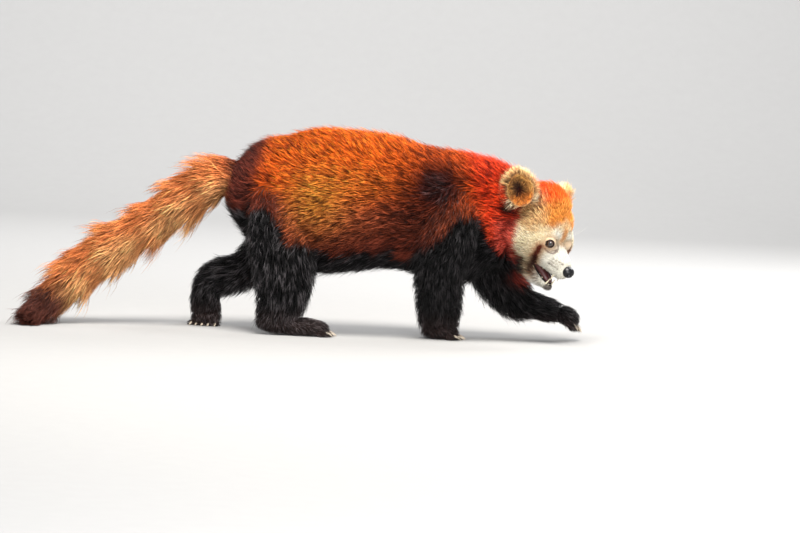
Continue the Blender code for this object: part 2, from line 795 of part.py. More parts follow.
def main():
    clear_scene()
    random.seed(7)
    red = material("red_coat", (0.52, 0.13, 0.03), 0.8)
    black = material("black_coat", (0.012, 0.009, 0.008), 0.8)
    ringed = material("tail_coat", (0.45, 0.19, 0.07), 0.8)
    face = material("face_coat", (0.75, 0.62, 0.45), 0.8)
    bare = material("bare_skin", (0.01, 0.01, 0.012), 0.35)
    flesh = material("mouth", (0.35, 0.12, 0.1), 0.4)
    eye = material("eye", (0.02, 0.012, 0.008), 0.08)

    body = make_body()
    nodes = {obj.name: obj for obj in (body, *part_body(body))}
    cut_wrists(nodes)
    for paw in make_paws():
        nodes[paw.name] = paw
    head = make_head()
    nose = make_nose(head)
    jaw = make_tube_node("lower_jaw", JAW, 16)
    add_teeth(head, "upper")
    cut_clear(jaw, head)
    cut_clear(jaw, nodes["neck"])
    add_teeth(jaw, "lower")
    tongue = make_tube_node("tongue", TONGUE, 10)
    cut_clear(tongue, jaw)
    cut_clear(tongue, head)
    ears = [make_ear("ear_left", 1), make_ear("ear_right", -1)]
    for ear in ears:
        cut_clear(ear, head)
        cut_clear(ear, nodes["neck"])
    eyes = [make_eye("eye_left", 1), make_eye("eye_right", -1)]
    for obj in (head, nose, jaw, tongue, *ears, *eyes):
        nodes[obj.name] = obj
    for name, obj in nodes.items():
        if name.startswith("paw") or name == "tail":
            level_with_floor(obj)
        finish = red
        if "leg" in name or "paw" in name:
            finish = black
        if name == "tail":
            finish = ringed
        if name in ("head", "lower_jaw", "ear_left", "ear_right"):
            finish = face
        finish = {"nose": bare, "tongue": flesh, "eye_left": eye, "eye_right": eye}.get(name, finish)
        obj.data.materials.clear()
        obj.data.materials.append(finish)
    centre(list(nodes.values()))


main()
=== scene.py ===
# The looks of a still, life-size red panda in mid stride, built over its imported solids.
# Sizes are in millimetres until a piece is finished, and then in metres in the frame's own place.

import math

import bmesh
import bpy
import numpy as np
from mathutils import Matrix, Vector


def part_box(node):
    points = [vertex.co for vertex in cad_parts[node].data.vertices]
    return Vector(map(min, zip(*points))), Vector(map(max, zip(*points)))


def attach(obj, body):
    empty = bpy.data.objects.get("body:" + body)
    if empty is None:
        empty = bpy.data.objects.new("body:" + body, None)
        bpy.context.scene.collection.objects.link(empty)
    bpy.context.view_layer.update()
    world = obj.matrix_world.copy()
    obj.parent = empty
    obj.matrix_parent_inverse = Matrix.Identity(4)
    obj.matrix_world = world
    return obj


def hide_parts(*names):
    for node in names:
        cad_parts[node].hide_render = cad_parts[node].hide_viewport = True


mm = 0.001

# Each limb's stations: x, y, z of the middle, half the width, half the depth, depth of the coat.
torso = (
    (-103, 0, 208, 26, 26, 8),
    (-88, 0, 204, 50, 52, 14),
    (-62, 0, 199, 66, 76, 18),
    (-25, 0, 190, 76, 94, 20),
    (15, 0, 186, 80, 103, 20),
    (60, 0, 188, 81, 101, 20),
    (105, 0, 188, 79, 96, 20),
    (150, 0, 181, 74, 91, 20),
    (195, 0, 173, 69, 94, 19),
    (235, 0, 167, 61, 92, 18),
    (262, 0, 160, 50, 76, 16),
    (286, 0, 150, 28, 46, 12),
)
neck = (
    (205, 0, 198, 56, 62, 18),
    (238, -2, 196, 56, 63, 18),
    (268, -4, 188, 49, 60, 17),
    (296, -8, 178, 40, 52, 14),
    (318, -15, 168, 32, 40, 12),
)
tail = (
    (-88, 0, 216, 30, 28, 20),
    (-115, 0, 211, 35, 34, 22),
    (-140, 0, 202, 35, 34, 22),
    (-167, 0, 184, 34, 34, 22),
    (-193, 0, 163, 32, 32, 21),
    (-220, 0, 142, 31, 31, 21),
    (-252, -1, 121, 32, 32, 21),
    (-285, -3, 97, 33, 33, 21),
    (-315, -7, 71, 32, 31, 20),
    (-339, -16, 47, 28, 27, 18),
    (-357, -32, 29, 24, 23, 16),
    (-369, -54, 18, 20, 19, 13),
    (-376, -74, 12, 15, 13, 10),
    (-379, -90, 9, 8, 8, 6),
)
hindLegRight = (
    (-52, -50, 186, 22, 34, 8),
    (-42, -50, 160, 33, 45, 13),
    (-34, -52, 125, 36, 50, 13),
    (-28, -54, 92, 33, 47, 12),
    (-28, -55, 65, 28, 41, 10),
    (-31, -54, 44, 23, 37, 8),
    (-38, -53, 26, 20, 28, 5),
    (-42, -53, 16, 14, 17, 3),
)
hindLegLeft = (
    (-52, 50, 186, 22, 34, 8),
    (-46, 50, 155, 32, 41, 13),
    (-54, 50, 118, 33, 37, 13),
    (-84, 51, 82, 29, 32, 12),
    (-110, 52, 72, 26, 30, 9),
    (-130, 52, 63, 23, 27, 6),
    (-139, 52, 46, 21, 23, 5),
    (-140, 52, 28, 20, 22, 4),
    (-139, 52, 14, 17, 19, 3),
)
foreLegRight = (
    (208, -46, 196, 20, 34, 8),
    (203, -45, 165, 32, 47, 13),
    (192, -42, 125, 33, 45, 12),
    (187, -36, 92, 29, 38, 11),
    (188, -27, 62, 25, 35, 9),
    (189, -18, 38, 22, 32, 7),
    (189, -13, 20, 19, 26, 4),
    (189, -11, 12, 13, 18, 3),
)
foreLegLeft = (
    (216, 46, 192, 20, 34, 8),
    (234, 46, 160, 32, 46, 13),
    (254, 48, 120, 33, 45, 12),
    (275, 51, 82, 29, 40, 11),
    (298, 51, 55, 24, 31, 9),
    (322, 50, 48, 20, 21, 6),
    (343, 49, 43, 17, 17, 3),
    (356, 48, 40, 14, 14, 2),
)
hindSole = (
    (-60, -53, 22, 12, 11, 3),
    (-42, -53, 18, 16, 15, 3),
    (-16, -52, 13, 18, 14, 3),
    (8, -51, 12, 20, 13, 3),
    (22, -51, 11, 16, 10, 3),
)
# Each limb with the way its hair lies along it, and how deep in the coat the skin is.
limbs = {
    "torso": {"stations": torso, "lie": -1, "skinDepth": 0.5},
    "neck": {"stations": neck, "lie": -1, "skinDepth": 0.5},
    "tail": {"stations": tail, "lie": 1, "skinDepth": 0.5},
    "hindLegRight": {"stations": hindLegRight, "lie": 1, "skinDepth": 0.75},
    "hindLegLeft": {"stations": hindLegLeft, "lie": 1, "skinDepth": 0.75},
    "foreLegRight": {"stations": foreLegRight, "lie": 1, "skinDepth": 0.75},
    "foreLegLeft": {"stations": foreLegLeft, "lie": 1, "skinDepth": 0.75},
}

# Each paw: its middle, its heading and nose-down tilt in degrees, its size, and the leg above it.
paws = {
    "hindRight": {"at": (12, -51, 11), "heading": 2, "tilt": 0, "size": (50, 42, 25), "leg": hindLegRight},
    "hindLeft": {"at": (-139, 49, 12), "heading": -104, "tilt": 12, "size": (40, 44, 26), "leg": hindLegLeft},
    "foreRight": {"at": (191, -11, 12), "heading": -4, "tilt": 0, "size": (52, 44, 28), "leg": foreLegRight},
    "foreLeft": {"at": (371, 47, 35), "heading": -3, "tilt": 25, "size": (36, 38, 27), "leg": foreLegLeft},
}
toe = {"count": 5, "size": (9, 5.4, 6.2), "coat": 2.0}
claw = {"long": 11, "radius": 1.9, "drop": 0.42, "hook": 1.6}

# The head's own frame has x along the muzzle, y to its left, z up, from between the eyes.
headPlace = {"at": (353.5, -41, 140), "turn": -42, "nod": 37, "tilt": -8}
skull = (  # middle, half sizes, depth of the coat
    ((-48, 0, 0), (50, 48, 46), 8),
    ((-56, 0, 12), (42, 44, 44), 9),
    ((-72, 0, 2), (34, 46, 42), 10),
    ((-31, 27, -14), (34, 34, 31), 10),
    ((-31, -27, -14), (34, 34, 31), 10),
    ((-13, 15, 9), (12, 13, 9), 2),
    ((-13, -15, 9), (12, 13, 9), 2),
)
muzzle = (
    (-24, 0, -18, 34, 26, 4),
    (-6, 0, -20, 27, 24, 3),
    (10, 0, -21.5, 19.5, 20.5, 2),
    (22, 0, -22.5, 16, 17, 1.5),
    (31, 0, -22.5, 12.5, 12.2, 1),
    (36, 0, -21.5, 6, 5.5, 0.6),
)
jaw = (
    (-42, 0, -38, 22, 12, 3),
    (-22, 0, -45, 19, 11, 3),
    (-2, 0, -51.5, 15, 9.5, 2.5),
    (14, 0, -54.5, 12, 8, 2),
    (23, 0, -55, 9.5, 7, 1.5),
    (28.5, 0, -54, 4, 4, 0.6),
)
tongue = (
    (-18, 0, -42, 11, 7, 0),
    (-4, 0, -43, 11, 6.8, 0),
    (8, 0, -45, 10, 5.8, 0),
    (17, 0, -47.5, 8, 4.2, 0),
    (23, 0, -49.5, 4.5, 2.2, 0),
)
eye = {"at": (-4.5, 20, -1), "radius": 6.6, "out": 50, "lid": 1.5, "opening": (5.6, 6.5), "cornea": 0.5}
nose = {"at": (35.5, 0, -18.5), "size": (8.2, 9.4, 8.0)}
ear = {
    "at": (-63, 54, 23), "up": (-0.68, 0.33, 0.65), "faces": (0.54, 0.74, 0.39), "size": (19.5, 25),
    "laidBack": (0, -5, -12),  # how far the left ear is drawn back and down
    "rings": (  # share of the outline's size and how far ahead, from the back to the bottom of the hollow
        (0.25, -12), (0.6, -10.5), (0.86, -7), (0.98, -1), (1.0, 5),
        (0.95, 7), (0.88, 5.5), (0.8, 1), (0.6, -3.5), (0.25, -5.5),
    ),
}
headCut = {"at": (306, -13, 178), "way": (1, -0.30, -0.15)}

skinMesh = {"bodyVoxel": 4.0, "headVoxel": 1.4, "pawVoxel": 1.5, "headDepth": 0.6}

# Hair: the mean area to a tuft in mm2, its length and its width.
hair = {
    "back": {"area": 3.4, "long": 18, "wide": 1.05},
    "tail": {"area": 4.3, "long": 34, "wide": 1.2},
    "neck": {"area": 3.6, "long": 20, "wide": 1.1},
    "legs": {"area": 4.2, "long": 16, "wide": 1.05},
    "paws": {"area": 2.2, "long": 7.5, "wide": 0.75},
    "face": {"area": 1.05, "long": 6, "wide": 0.45},
    "ears": {"area": 0.8, "long": 9.5, "wide": 0.5},
}
tuftBends = {"tail": 3}  # lengths that a tuft bends in, where not two
coatSeed = 11
tuftPatch = 0.003  # how wide a tuft's patch is on the unwrap of the skin
tuftForm = {
    "swirl": 0.16, "scatter": 0.13, "bend": 0.10, "droop": 0.05, "pull": 0.75,
    "clumpSize": 0.22, "clumpJitter": 0.28, "ticks": 0.24,
    "shade": ((0, 0.12), (0.5, 0.68), (1, 1.46)),  # share of the length, and how bright it is there: darker at the root for the undercoat and for painted shade deep in the coat, paler at the tip
    "taper": ((0, 1), (0.33, 0.92), (0.5, 0.8), (0.67, 0.6), (1, 0)),
}
undercoatAndShade = 0.55  # how dark the skin is under its hair: partly its own darker undercoat, partly painted shade beneath the coat
blackHairHighlight = ((20, 1.0), (120, 0.4))  # x, and how much painted highlight the palest clumps of the black hair show


def srgb(r, g, b):  # screen values of 0 to 255 as linear colour
    return np.array([((c / 255 + 0.055) / 1.055) ** 2.4 if c > 10 else c / 255 / 12.92 for c in (r, g, b)])


furColours = {
    "backTop": srgb(255, 108, 26),
    "back": srgb(248, 100, 28),
    "ochre": srgb(242, 150, 58),
    "flank": srgb(182, 88, 54),
    "lowFlank": srgb(112, 48, 36),
    "maroon": srgb(112, 50, 38),
    "shoulder": srgb(62, 20, 13),
    "neck": srgb(240, 64, 26),
    "cheekNeck": srgb(226, 84, 66),
    "black": srgb(7, 6, 7),
    # the grey of the painted highlight on the palest clumps of black hair
    "paintedHighlightGrey": srgb(122, 116, 118),
    "footBrown": srgb(66, 50, 47),
    "tailTop": srgb(255, 138, 72),
    "tailBuff": srgb(255, 194, 130),
    "tailUnder": srgb(222, 156, 100),
    "tailTip": srgb(92, 50, 40),
    "crown": srgb(255, 86, 18),
    "forehead": srgb(236, 144, 62),
    "cheekTan": srgb(228, 178, 122),
    "cream": srgb(255, 234, 190),
    "white": srgb(242, 237, 220),
    "peach": srgb(240, 200, 160),
    # the brown of the tear stripe, also used for painted shade in the creases by the eye
    "tearStripeAndCreaseShade": srgb(104, 40, 22),
    "tearTop": srgb(196, 112, 58),
    "earOrange": srgb(255, 146, 60),
    "earCream": srgb(244, 172, 96),
    # painted shade in the hollow of the ear
    "earHollowShade": srgb(44, 28, 24),
    # the mouth's dark red: partly its flesh, partly painted shade inside the mouth
    "mouth": srgb(46, 20, 22),
    "lip": srgb(20, 16, 17),
}


def rampStep(low, high, x):
    t = np.clip((x - low) / (high - low), 0, 1)
    return t * t * (3 - 2 * t)


def waves(points, size, seed):  # smooth noise of about -1 to 1, from waves in several directions
    draw = np.random.RandomState(seed)
    total = np.zeros(len(points))
    for _ in range(6):
        way = draw.normal(size=3)
        way /= np.linalg.norm(way)
        turns = points @ way * (math.tau / size) * draw.uniform(0.6, 1.6)
        total += np.sin(turns + draw.uniform(0, math.tau))
    return total / 2.5


def through(stations, steps):  # a smooth curve through the stations, with steps to a stretch
    line = []
    for i in range(len(stations) - 1):
        a, b = stations[max(i - 1, 0)], stations[i]
        c, d = stations[i + 1], stations[min(i + 2, len(stations) - 1)]
        for k in range(steps):
            t = k / steps
            line.append([
                0.5 * (2 * q + (r - p) * t + (2 * p - 5 * q + 4 * r - s) * t * t
                       + (3 * q - p - 3 * r + s) * t ** 3)
                for p, q, r, s in zip(a, b, c, d)
            ])
    line.append(list(stations[-1]))
    return line


def frameAt(line, i):  # the middle, the way along, the way across and the way up
    here = Vector(line[i][:3])
    along = Vector(line[min(i + 1, len(line) - 1)][:3]) - Vector(line[max(i - 1, 0)][:3])
    along.normalize()
    across = Vector((0, 1, 0))
    if abs(along.y) > 0.9:
        across = Vector((-1, 0, 0))
    across = (across - along * across.dot(along)).normalized()
    return here, along, across, along.cross(across)


def bridgeRings(bm, rings):
    for low, high in zip(rings, rings[1:]):
        edges = {e for v in low for e in v.link_edges if e.other_vert(v) in low}
        edges |= {e for v in high for e in v.link_edges if e.other_vert(v) in high}
        bmesh.ops.bridge_loops(bm, edges=list(edges))


def addTube(bm, stations, depth=0.0, sides=28, steps=4, place=None):
    line = through(stations, steps)
    rings = []
    for i, (_, _, _, wide, deep, coat) in enumerate(line):
        here, along, across, up = frameAt(line, i)
        size = Matrix.Diagonal((max(wide - depth * coat, 0.5), max(deep - depth * coat, 0.5), 1, 1))
        turn = Matrix((across, up, along)).transposed().to_4x4()
        ring = bmesh.ops.create_circle(
            bm, cap_ends=i in (0, len(line) - 1), segments=sides, radius=1,
            matrix=(place or Matrix.Identity(4)) @ Matrix.Translation(here) @ turn @ size,
        )
        rings.append(ring["verts"])
    bridgeRings(bm, rings)


def addBall(bm, at, size, place=None, segments=32, rings=20):
    shape = (place or Matrix.Identity(4)) @ Matrix.Translation(at) @ Matrix.Diagonal((*size, 1))
    ball = bmesh.ops.create_uvsphere(bm, u_segments=segments, v_segments=rings, radius=1, matrix=shape)
    return ball["verts"]


def turned(degrees, axis):
    return Matrix.Rotation(math.radians(degrees), 4, axis)


def pawFrame(paw):
    return Matrix.Translation(paw["at"]) @ turned(paw["heading"], "Z") @ turned(paw["tilt"], "Y")


headFrame = (
    Matrix.Translation(headPlace["at"]) @ turned(headPlace["turn"], "Z")
    @ turned(headPlace["nod"], "Y") @ turned(headPlace["tilt"], "X")
)


def sided(point, side):
    return Vector((point[0], point[1] * side, point[2]))


def eyeFrame(side):
    look = Matrix.Rotation(math.radians(eye["out"] * side), 4, "Z")
    return headFrame @ Matrix.Translation(sided(eye["at"], side)) @ look


def earFrame(side):
    up = sided(ear["up"], side).normalized()
    faces = sided(ear["faces"], side)
    faces = (faces - up * faces.dot(up)).normalized()
    turn = Matrix((faces.cross(up), faces, up)).transposed().to_4x4()
    back = Matrix.Translation(ear["laidBack"] if side > 0 else (0, 0, 0))
    return headFrame @ Matrix.Translation(sided(ear["at"], side)) @ turn @ back


def meshObject(name, bm):
    bmesh.ops.recalc_face_normals(bm, faces=bm.faces)
    mesh = bpy.data.meshes.new(name)
    bm.to_mesh(mesh)
    bm.free()
    obj = bpy.data.objects.new(name, mesh)
    bpy.context.scene.collection.objects.link(obj)
    return obj


def settle(obj):  # applies the object's modifiers
    graph = bpy.context.evaluated_depsgraph_get()
    graph.update()
    made = bpy.data.meshes.new_from_object(obj.evaluated_get(graph))
    obj.modifiers.clear()
    obj.data = made


def fuse(obj, voxel, smooth):  # one closed surface round all that overlaps in the object
    remesh = obj.modifiers.new("fuse", "REMESH")
    remesh.mode = "VOXEL"
    remesh.voxel_size = voxel
    ease = obj.modifiers.new("ease", "SMOOTH")
    ease.factor = 0.5
    ease.iterations = smooth
    settle(obj)


def join(obj, other, operation="UNION"):
    cut = obj.modifiers.new("join", "BOOLEAN")
    cut.operation = operation
    cut.object = other
    cut.solver = "MANIFOLD"
    settle(obj)
    bpy.data.objects.remove(other)


def readValues(items, key, width):  # a mesh's values, in rows of that width
    values = np.zeros(len(items) * width)
    items.foreach_get(key, values)
    return values.reshape(-1, width)


def paint(mesh, colours, alongHair):  # colours, and how far along its hair each point is
    layer = mesh.color_attributes.new("coatColour", "FLOAT_COLOR", "POINT")
    values = np.column_stack((colours, alongHair))
    layer.data.foreach_set("color", values.astype(np.float32).ravel())


def finishPiece(obj):  # millimetres in the model's own place become metres in the frame's
    obj.data.transform(toFrame)
    obj.data.shade_smooth()
    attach(obj, "root")


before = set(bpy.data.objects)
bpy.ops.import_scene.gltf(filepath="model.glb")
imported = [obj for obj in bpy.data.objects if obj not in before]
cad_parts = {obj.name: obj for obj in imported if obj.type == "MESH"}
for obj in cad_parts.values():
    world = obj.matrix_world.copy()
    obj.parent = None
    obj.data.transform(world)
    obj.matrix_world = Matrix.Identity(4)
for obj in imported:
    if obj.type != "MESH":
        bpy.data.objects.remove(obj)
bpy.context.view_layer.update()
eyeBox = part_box("eye_right")
eyeMiddle = eyeFrame(-1).translation * mm
toFrame = Matrix.Translation((eyeBox[0] + eyeBox[1]) / 2 - eyeMiddle) @ Matrix.Scale(mm, 4)


# The skin: body, paws and head are each fused at their own fineness and then joined into one surface.

def toeMiddle(paw, i):
    long, wide, high = (s / 2 for s in paw["size"])
    side = i - (toe["count"] - 1) / 2
    return Vector((long - 4 - 1.3 * side * side, side * wide * 0.40, toe["size"][2] - high - 0.6))


def addPaw(bm, name, paw):
    place = pawFrame(paw)
    coat = toe["coat"]
    addBall(bm, (0, 0, 0), [s / 2 - coat for s in paw["size"]], place)
    addTube(bm, paw["leg"][-5:], depth=limbs["hindLegRight"]["skinDepth"])
    if name == "hindRight":
        addTube(bm, hindSole, depth=0.6)
    for i in range(toe["count"]):
        addBall(bm, toeMiddle(paw, i), [s - 0.6 * coat for s in toe["size"]], place, 20, 14)


def addEar(bm, side):
    place = earFrame(side)
    wide, high = ear["size"]
    rings = []
    for i, (share, ahead) in enumerate(ear["rings"]):
        ends = i in (0, len(ear["rings"]) - 1)
        ring = bmesh.ops.create_circle(bm, cap_ends=ends, segments=40, radius=1)["verts"]
        for v in ring:
            across, rise = v.co.x, v.co.y
            across *= 1.06 - 0.42 * max(0.0, rise) ** 2
            height = high * (0.55 + 0.95 * share * rise)
            v.co = place @ Vector((0.95 * share * wide * across, ahead, height))
        rings.append(ring)
    bridgeRings(bm, rings)


mouthHollow = {"at": (8, 0, -42), "size": (23, 10.5, 8.5)}


def makeHead():
    bm = bmesh.new()
    for at, size, coat in skull:
        addBall(bm, at, [s - skinMesh["headDepth"] * coat for s in size], headFrame, 48, 32)
    addTube(bm, muzzle, depth=skinMesh["headDepth"], place=headFrame)
    addTube(bm, jaw, depth=skinMesh["headDepth"], place=headFrame)
    for side in (1, -1):
        addEar(bm, side)
        addBall(bm, (0, 0, 0), [eye["radius"] + eye["lid"]] * 3, eyeFrame(side))
    head = meshObject("head", bm)
    fuse(head, skinMesh["headVoxel"], 5)
    bm = bmesh.new()
    addBall(bm, mouthHollow["at"], mouthHollow["size"], headFrame)
    join(head, meshObject("hollow", bm), "DIFFERENCE")
    for side in (1, -1):
        bm = bmesh.new()
        addBall(bm, (eye["radius"], 0, 0), (5, *eye["opening"]), eyeFrame(side))
        join(head, meshObject("opening", bm), "DIFFERENCE")
        bm = bmesh.new()
        addBall(bm, (0, 0, 0), [eye["radius"] + 0.15] * 3, eyeFrame(side))
        join(head, meshObject("socket", bm), "DIFFERENCE")
    return head


def makeSkin():
    bm = bmesh.new()
    for limb in limbs.values():
        addTube(bm, limb["stations"], depth=limb["skinDepth"])
    skin = meshObject("skin", bm)
    fuse(skin, skinMesh["bodyVoxel"], 6)
    for name, paw in paws.items():
        bm = bmesh.new()
        addPaw(bm, name, paw)
        shape = meshObject(name, bm)
        fuse(shape, skinMesh["pawVoxel"], 3)
        join(skin, shape)
    join(skin, makeHead())
    for v in skin.data.vertices:
        v.co.z = max(v.co.z, 0.6)
    return skin


def unwrap(obj):
    bpy.context.view_layer.objects.active = obj
    obj.select_set(True)
    bpy.ops.object.mode_set(mode="EDIT")
    bpy.ops.mesh.select_all(action="SELECT")
    bpy.ops.uv.smart_project(angle_limit=math.radians(66), island_margin=0.001)
    bpy.ops.object.mode_set(mode="OBJECT")
    obj.data.uv_layers[0].name = "OFBake"


skin = makeSkin()
unwrap(skin)
print("skin", len(skin.data.polygons), "faces")


# Where a point lies on the body, for the way, length and colour of the hair there.

def limbRows():
    rows = []
    for number, limb in enumerate(limbs.values()):
        line = through(limb["stations"], 4)
        for i in range(len(line)):
            here, along, across, up = frameAt(line, i)
            rows.append((*here, *along, *across, *up, *line[i][3:], number, i / (len(line) - 1), limb["lie"]))
    return np.array(rows)


rowTable = limbRows()


def limbPlaces(points):  # each limb's nearness, and the blended way and depth of the coat
    here, along, across, up = (rowTable[:, k:k + 3] for k in (0, 3, 6, 9))
    wide, deep, coat, number, share, lie = rowTable[:, 12:].T
    near, way, depth, place = [], [], [], []
    for start in range(0, len(points), 4000):
        rel = points[start:start + 4000, None, :] - here[None]
        a = (rel * across).sum(2) / wide
        b = (rel * up).sum(2) / deep
        c = (rel * along).sum(2) / (0.5 * (wide + deep))
        far = np.sqrt(a * a + b * b + c * c)
        picks = np.stack([
            np.where(number == k, far, 99).argmin(1) for k in range(len(limbs))
        ], 1)
        ratio = np.take_along_axis(far, picks, 1)
        weight = np.exp(-9 * (ratio - ratio.min(1, keepdims=True)))
        weight /= weight.sum(1, keepdims=True)
        near.append(weight)
        way.append((weight[..., None] * along[picks] * lie[picks][..., None]).sum(1))
        depth.append((weight * coat[picks]).sum(1))
        place.append(share[picks])
    return tuple(np.concatenate(parts) for parts in (near, way, depth, place))


def inFrame(points, frameMatrix):
    back = np.array(frameMatrix.inverted())
    return points @ back[:3, :3].T + back[:3, 3]


def outOf(vectors, frameMatrix):
    return vectors @ np.array(frameMatrix)[:3, :3].T


def headShare(points, inHead):
    way = np.array(Vector(headCut["way"]).normalized())
    ahead = (points - np.array(headCut["at"])) @ way
    reach = np.linalg.norm(inHead - np.array((-35, 0, -10)), axis=1)
    return rampStep(-7, 5, ahead) * rampStep(100, 86, reach)


def earShare(inEar):
    wide, high = ear["size"]
    x, y, z = inEar.T
    share = rampStep(1.3, 1.05, np.abs(x) / wide)
    share = share * rampStep(-17, -13, y) * rampStep(15, 10, y)
    return share * rampStep(-0.4, -0.2, z / high) * rampStep(2, 1.7, z / high)


def pawShare(points):
    share = np.zeros(len(points))
    for paw in paws.values():
        local = inFrame(points, pawFrame(paw)) / (np.array(paw["size"]) / 2 + 4)
        share = np.maximum(share, rampStep(1.35, 1.0, np.linalg.norm(local, axis=1)))
    heel = (points[:, 2] < 26) & (points[:, 0] > -70) & (points[:, 0] < 30) & (points[:, 1] < -20)
    return np.maximum(share, heel * rampStep(30, 20, points[:, 2]))


# The markings. Heights and places are in millimetres, from the shapes that the fur shows.

blackEdge = (  # x and height where the red of the flank ends above the black of the belly and legs
    (-125, 178), (-104, 170), (-60, 176), (-40, 160), (-23, 126), (16, 124), (38, 114), (80, 124),
    (123, 121), (146, 112), (169, 132), (190, 146), (202, 163), (212, 176), (236, 176), (245, 160),
    (259, 141), (268, 124), (285, 126), (301, 110), (330, 100),
)


def unit(vectors):
    return vectors / np.maximum(np.linalg.norm(vectors, axis=-1, keepdims=True), 1e-9)


def mixed(colour, other, share):
    return colour + (other - colour) * share[:, None]


def blob(points, centre, radii):
    return np.exp(-(((points - np.array(centre)) / np.array(radii)) ** 2).sum(1))


def layered(ground, layers):  # each layer is a fur colour, its tone, and its share at each point
    colour = furColours[ground]
    for name, tone, share in layers:
        colour = mixed(colour, furColours[name] * tone, share)
    return colour


def tailHeight(points):  # how far a point is above the middle of the tail
    middle = np.array([station[:3] for station in through(tail, 4)])
    order = np.argsort(middle[:, 0])
    return points[:, 2] - np.interp(points[:, 0], middle[order, 0], middle[order, 2])


def tailColour(points, along):
    rise = tailHeight(points)
    rings = rampStep(0.1, 0.75, np.sin(along * math.tau * 5.5 + 0.5 * waves(points, 60, 5)))
    return layered("tailBuff", (
        ("tailTop", 1, 0.25 + 0.6 * rampStep(-8, 20, rise)),
        ("tailUnder", 1, rampStep(0, -22, rise) * 0.7),
        ("tailTop", 0.7, rings * 0.45),
        ("tailTip", 1, rampStep(0.64, 0.8, along + 0.02 * waves(points, 30, 8))),
        ("maroon", 1, rampStep(0.11, 0.05, along)),
    ))


def bodyColour(points, weights, shares):
    x, y, z = points.T
    flat = points * np.array((1, 0, 1))
    band = rampStep(-66, -88, x - 0.3 * (z - 200)) * rampStep(-128, -112, x)
    thigh = 0.9 * rampStep(-24, -48, x) * rampStep(204, 186, z)
    edge = np.interp(x, *zip(*blackEdge)) - 5 * rampStep(20, 60, y) + 5 * waves(points, 26, 3)
    underEar = blob(flat, (276, 0, 187), (20, 1, 7)) * rampStep(33, 40, np.abs(y))
    black = np.maximum(rampStep(7, -7, z - edge), underEar)
    colour = layered("back", (
        ("flank", 1, rampStep(215, 165, z)),
        ("lowFlank", 1, rampStep(165, 130, z) * 0.8),
        ("backTop", 1, rampStep(222, 262, z) * rampStep(-75, -30, x) * rampStep(190, 120, x)),
        ("ochre", 1, 0.85 * blob(flat, (12, 0, 192), (42, 1, 40))),
        ("ochre", 1, 0.35 * blob(flat, (75, 0, 215), (60, 1, 24))),
        ("shoulder", 1, np.clip(1.15 * blob(flat, (178, 0, 214), (54, 1, 48)), 0, 1)),
        ("shoulder", 1, 0.85 * blob(flat, (142, 0, 168), (58, 1, 46))),
        ("neck", 1, rampStep(212, 244, x + 0.25 * (z - 220))),
        ("cheekNeck", 1, rampStep(250, 270, x) * rampStep(185, 165, z)),
        ("maroon", 1, np.maximum(band, thigh)),
        ("black", 1, black),
        ("footBrown", 1, 0.6 * rampStep(45, 12, z) * black),
        ("cheekNeck", 0.6, blob(flat, (302, 0, 86), (13, 1, 9)) * rampStep(20, 30, y)),
    ))
    return mixed(colour, tailColour(points, shares[:, 2]), weights[:, 2])


tearLine = ((1, 33, -8), (-1, 41, -10), (-1, 39, -19), (-5, 30, -32), (-9, 17, -42))
# Painted shade: thin dark lines in the crease under the lower lid and in the hollow at the eye's inner
# corner.
creaseShadeLine = ((3, 33, -10), (6, 25, -13), (9, 17, -10), (9, 12, -5))
cornerShadeLine = ((7, 15, -6), (8, 11, -3), (6, 9, 3))


def lineShare(points, line, width):  # nearness to a line over the face, whatever the depth in the coat
    middle = np.array((-25, 0, -15))
    ways = unit(points - middle)
    nearest = np.full(len(points), 99.0)
    for start, end in zip(line, line[1:]):
        a, b = unit(np.array(start) - middle), unit(np.array(end) - middle)
        reach = np.linalg.norm(np.array(start) + np.array(end) - 2 * middle) / 2
        t = np.clip((ways - a) @ (b - a) / ((b - a) @ (b - a)), 0, 1)
        nearest = np.minimum(nearest, reach * np.linalg.norm(ways - a - t[:, None] * (b - a), axis=1))
    return np.exp(-(nearest / width) ** 2)


whiskerSpots = [  # three rows on each side of the muzzle
    (26 - 4.5 * k, 9.5 + 1.6 * k + 1.2 * row, -13 - 4.2 * row - 0.8 * k)
    for row in range(3) for k in range(4)
]


def insideMouth(inHead, grow):
    local = (inHead - np.array(mouthHollow["at"])) / (np.array(mouthHollow["size"]) + grow)
    return np.linalg.norm(local, axis=1)


def bothSides(inHead):  # the same point on the left half of the head
    return inHead * np.array((1, 0, 1)) + np.abs(inHead) * np.array((0, 1, 0))


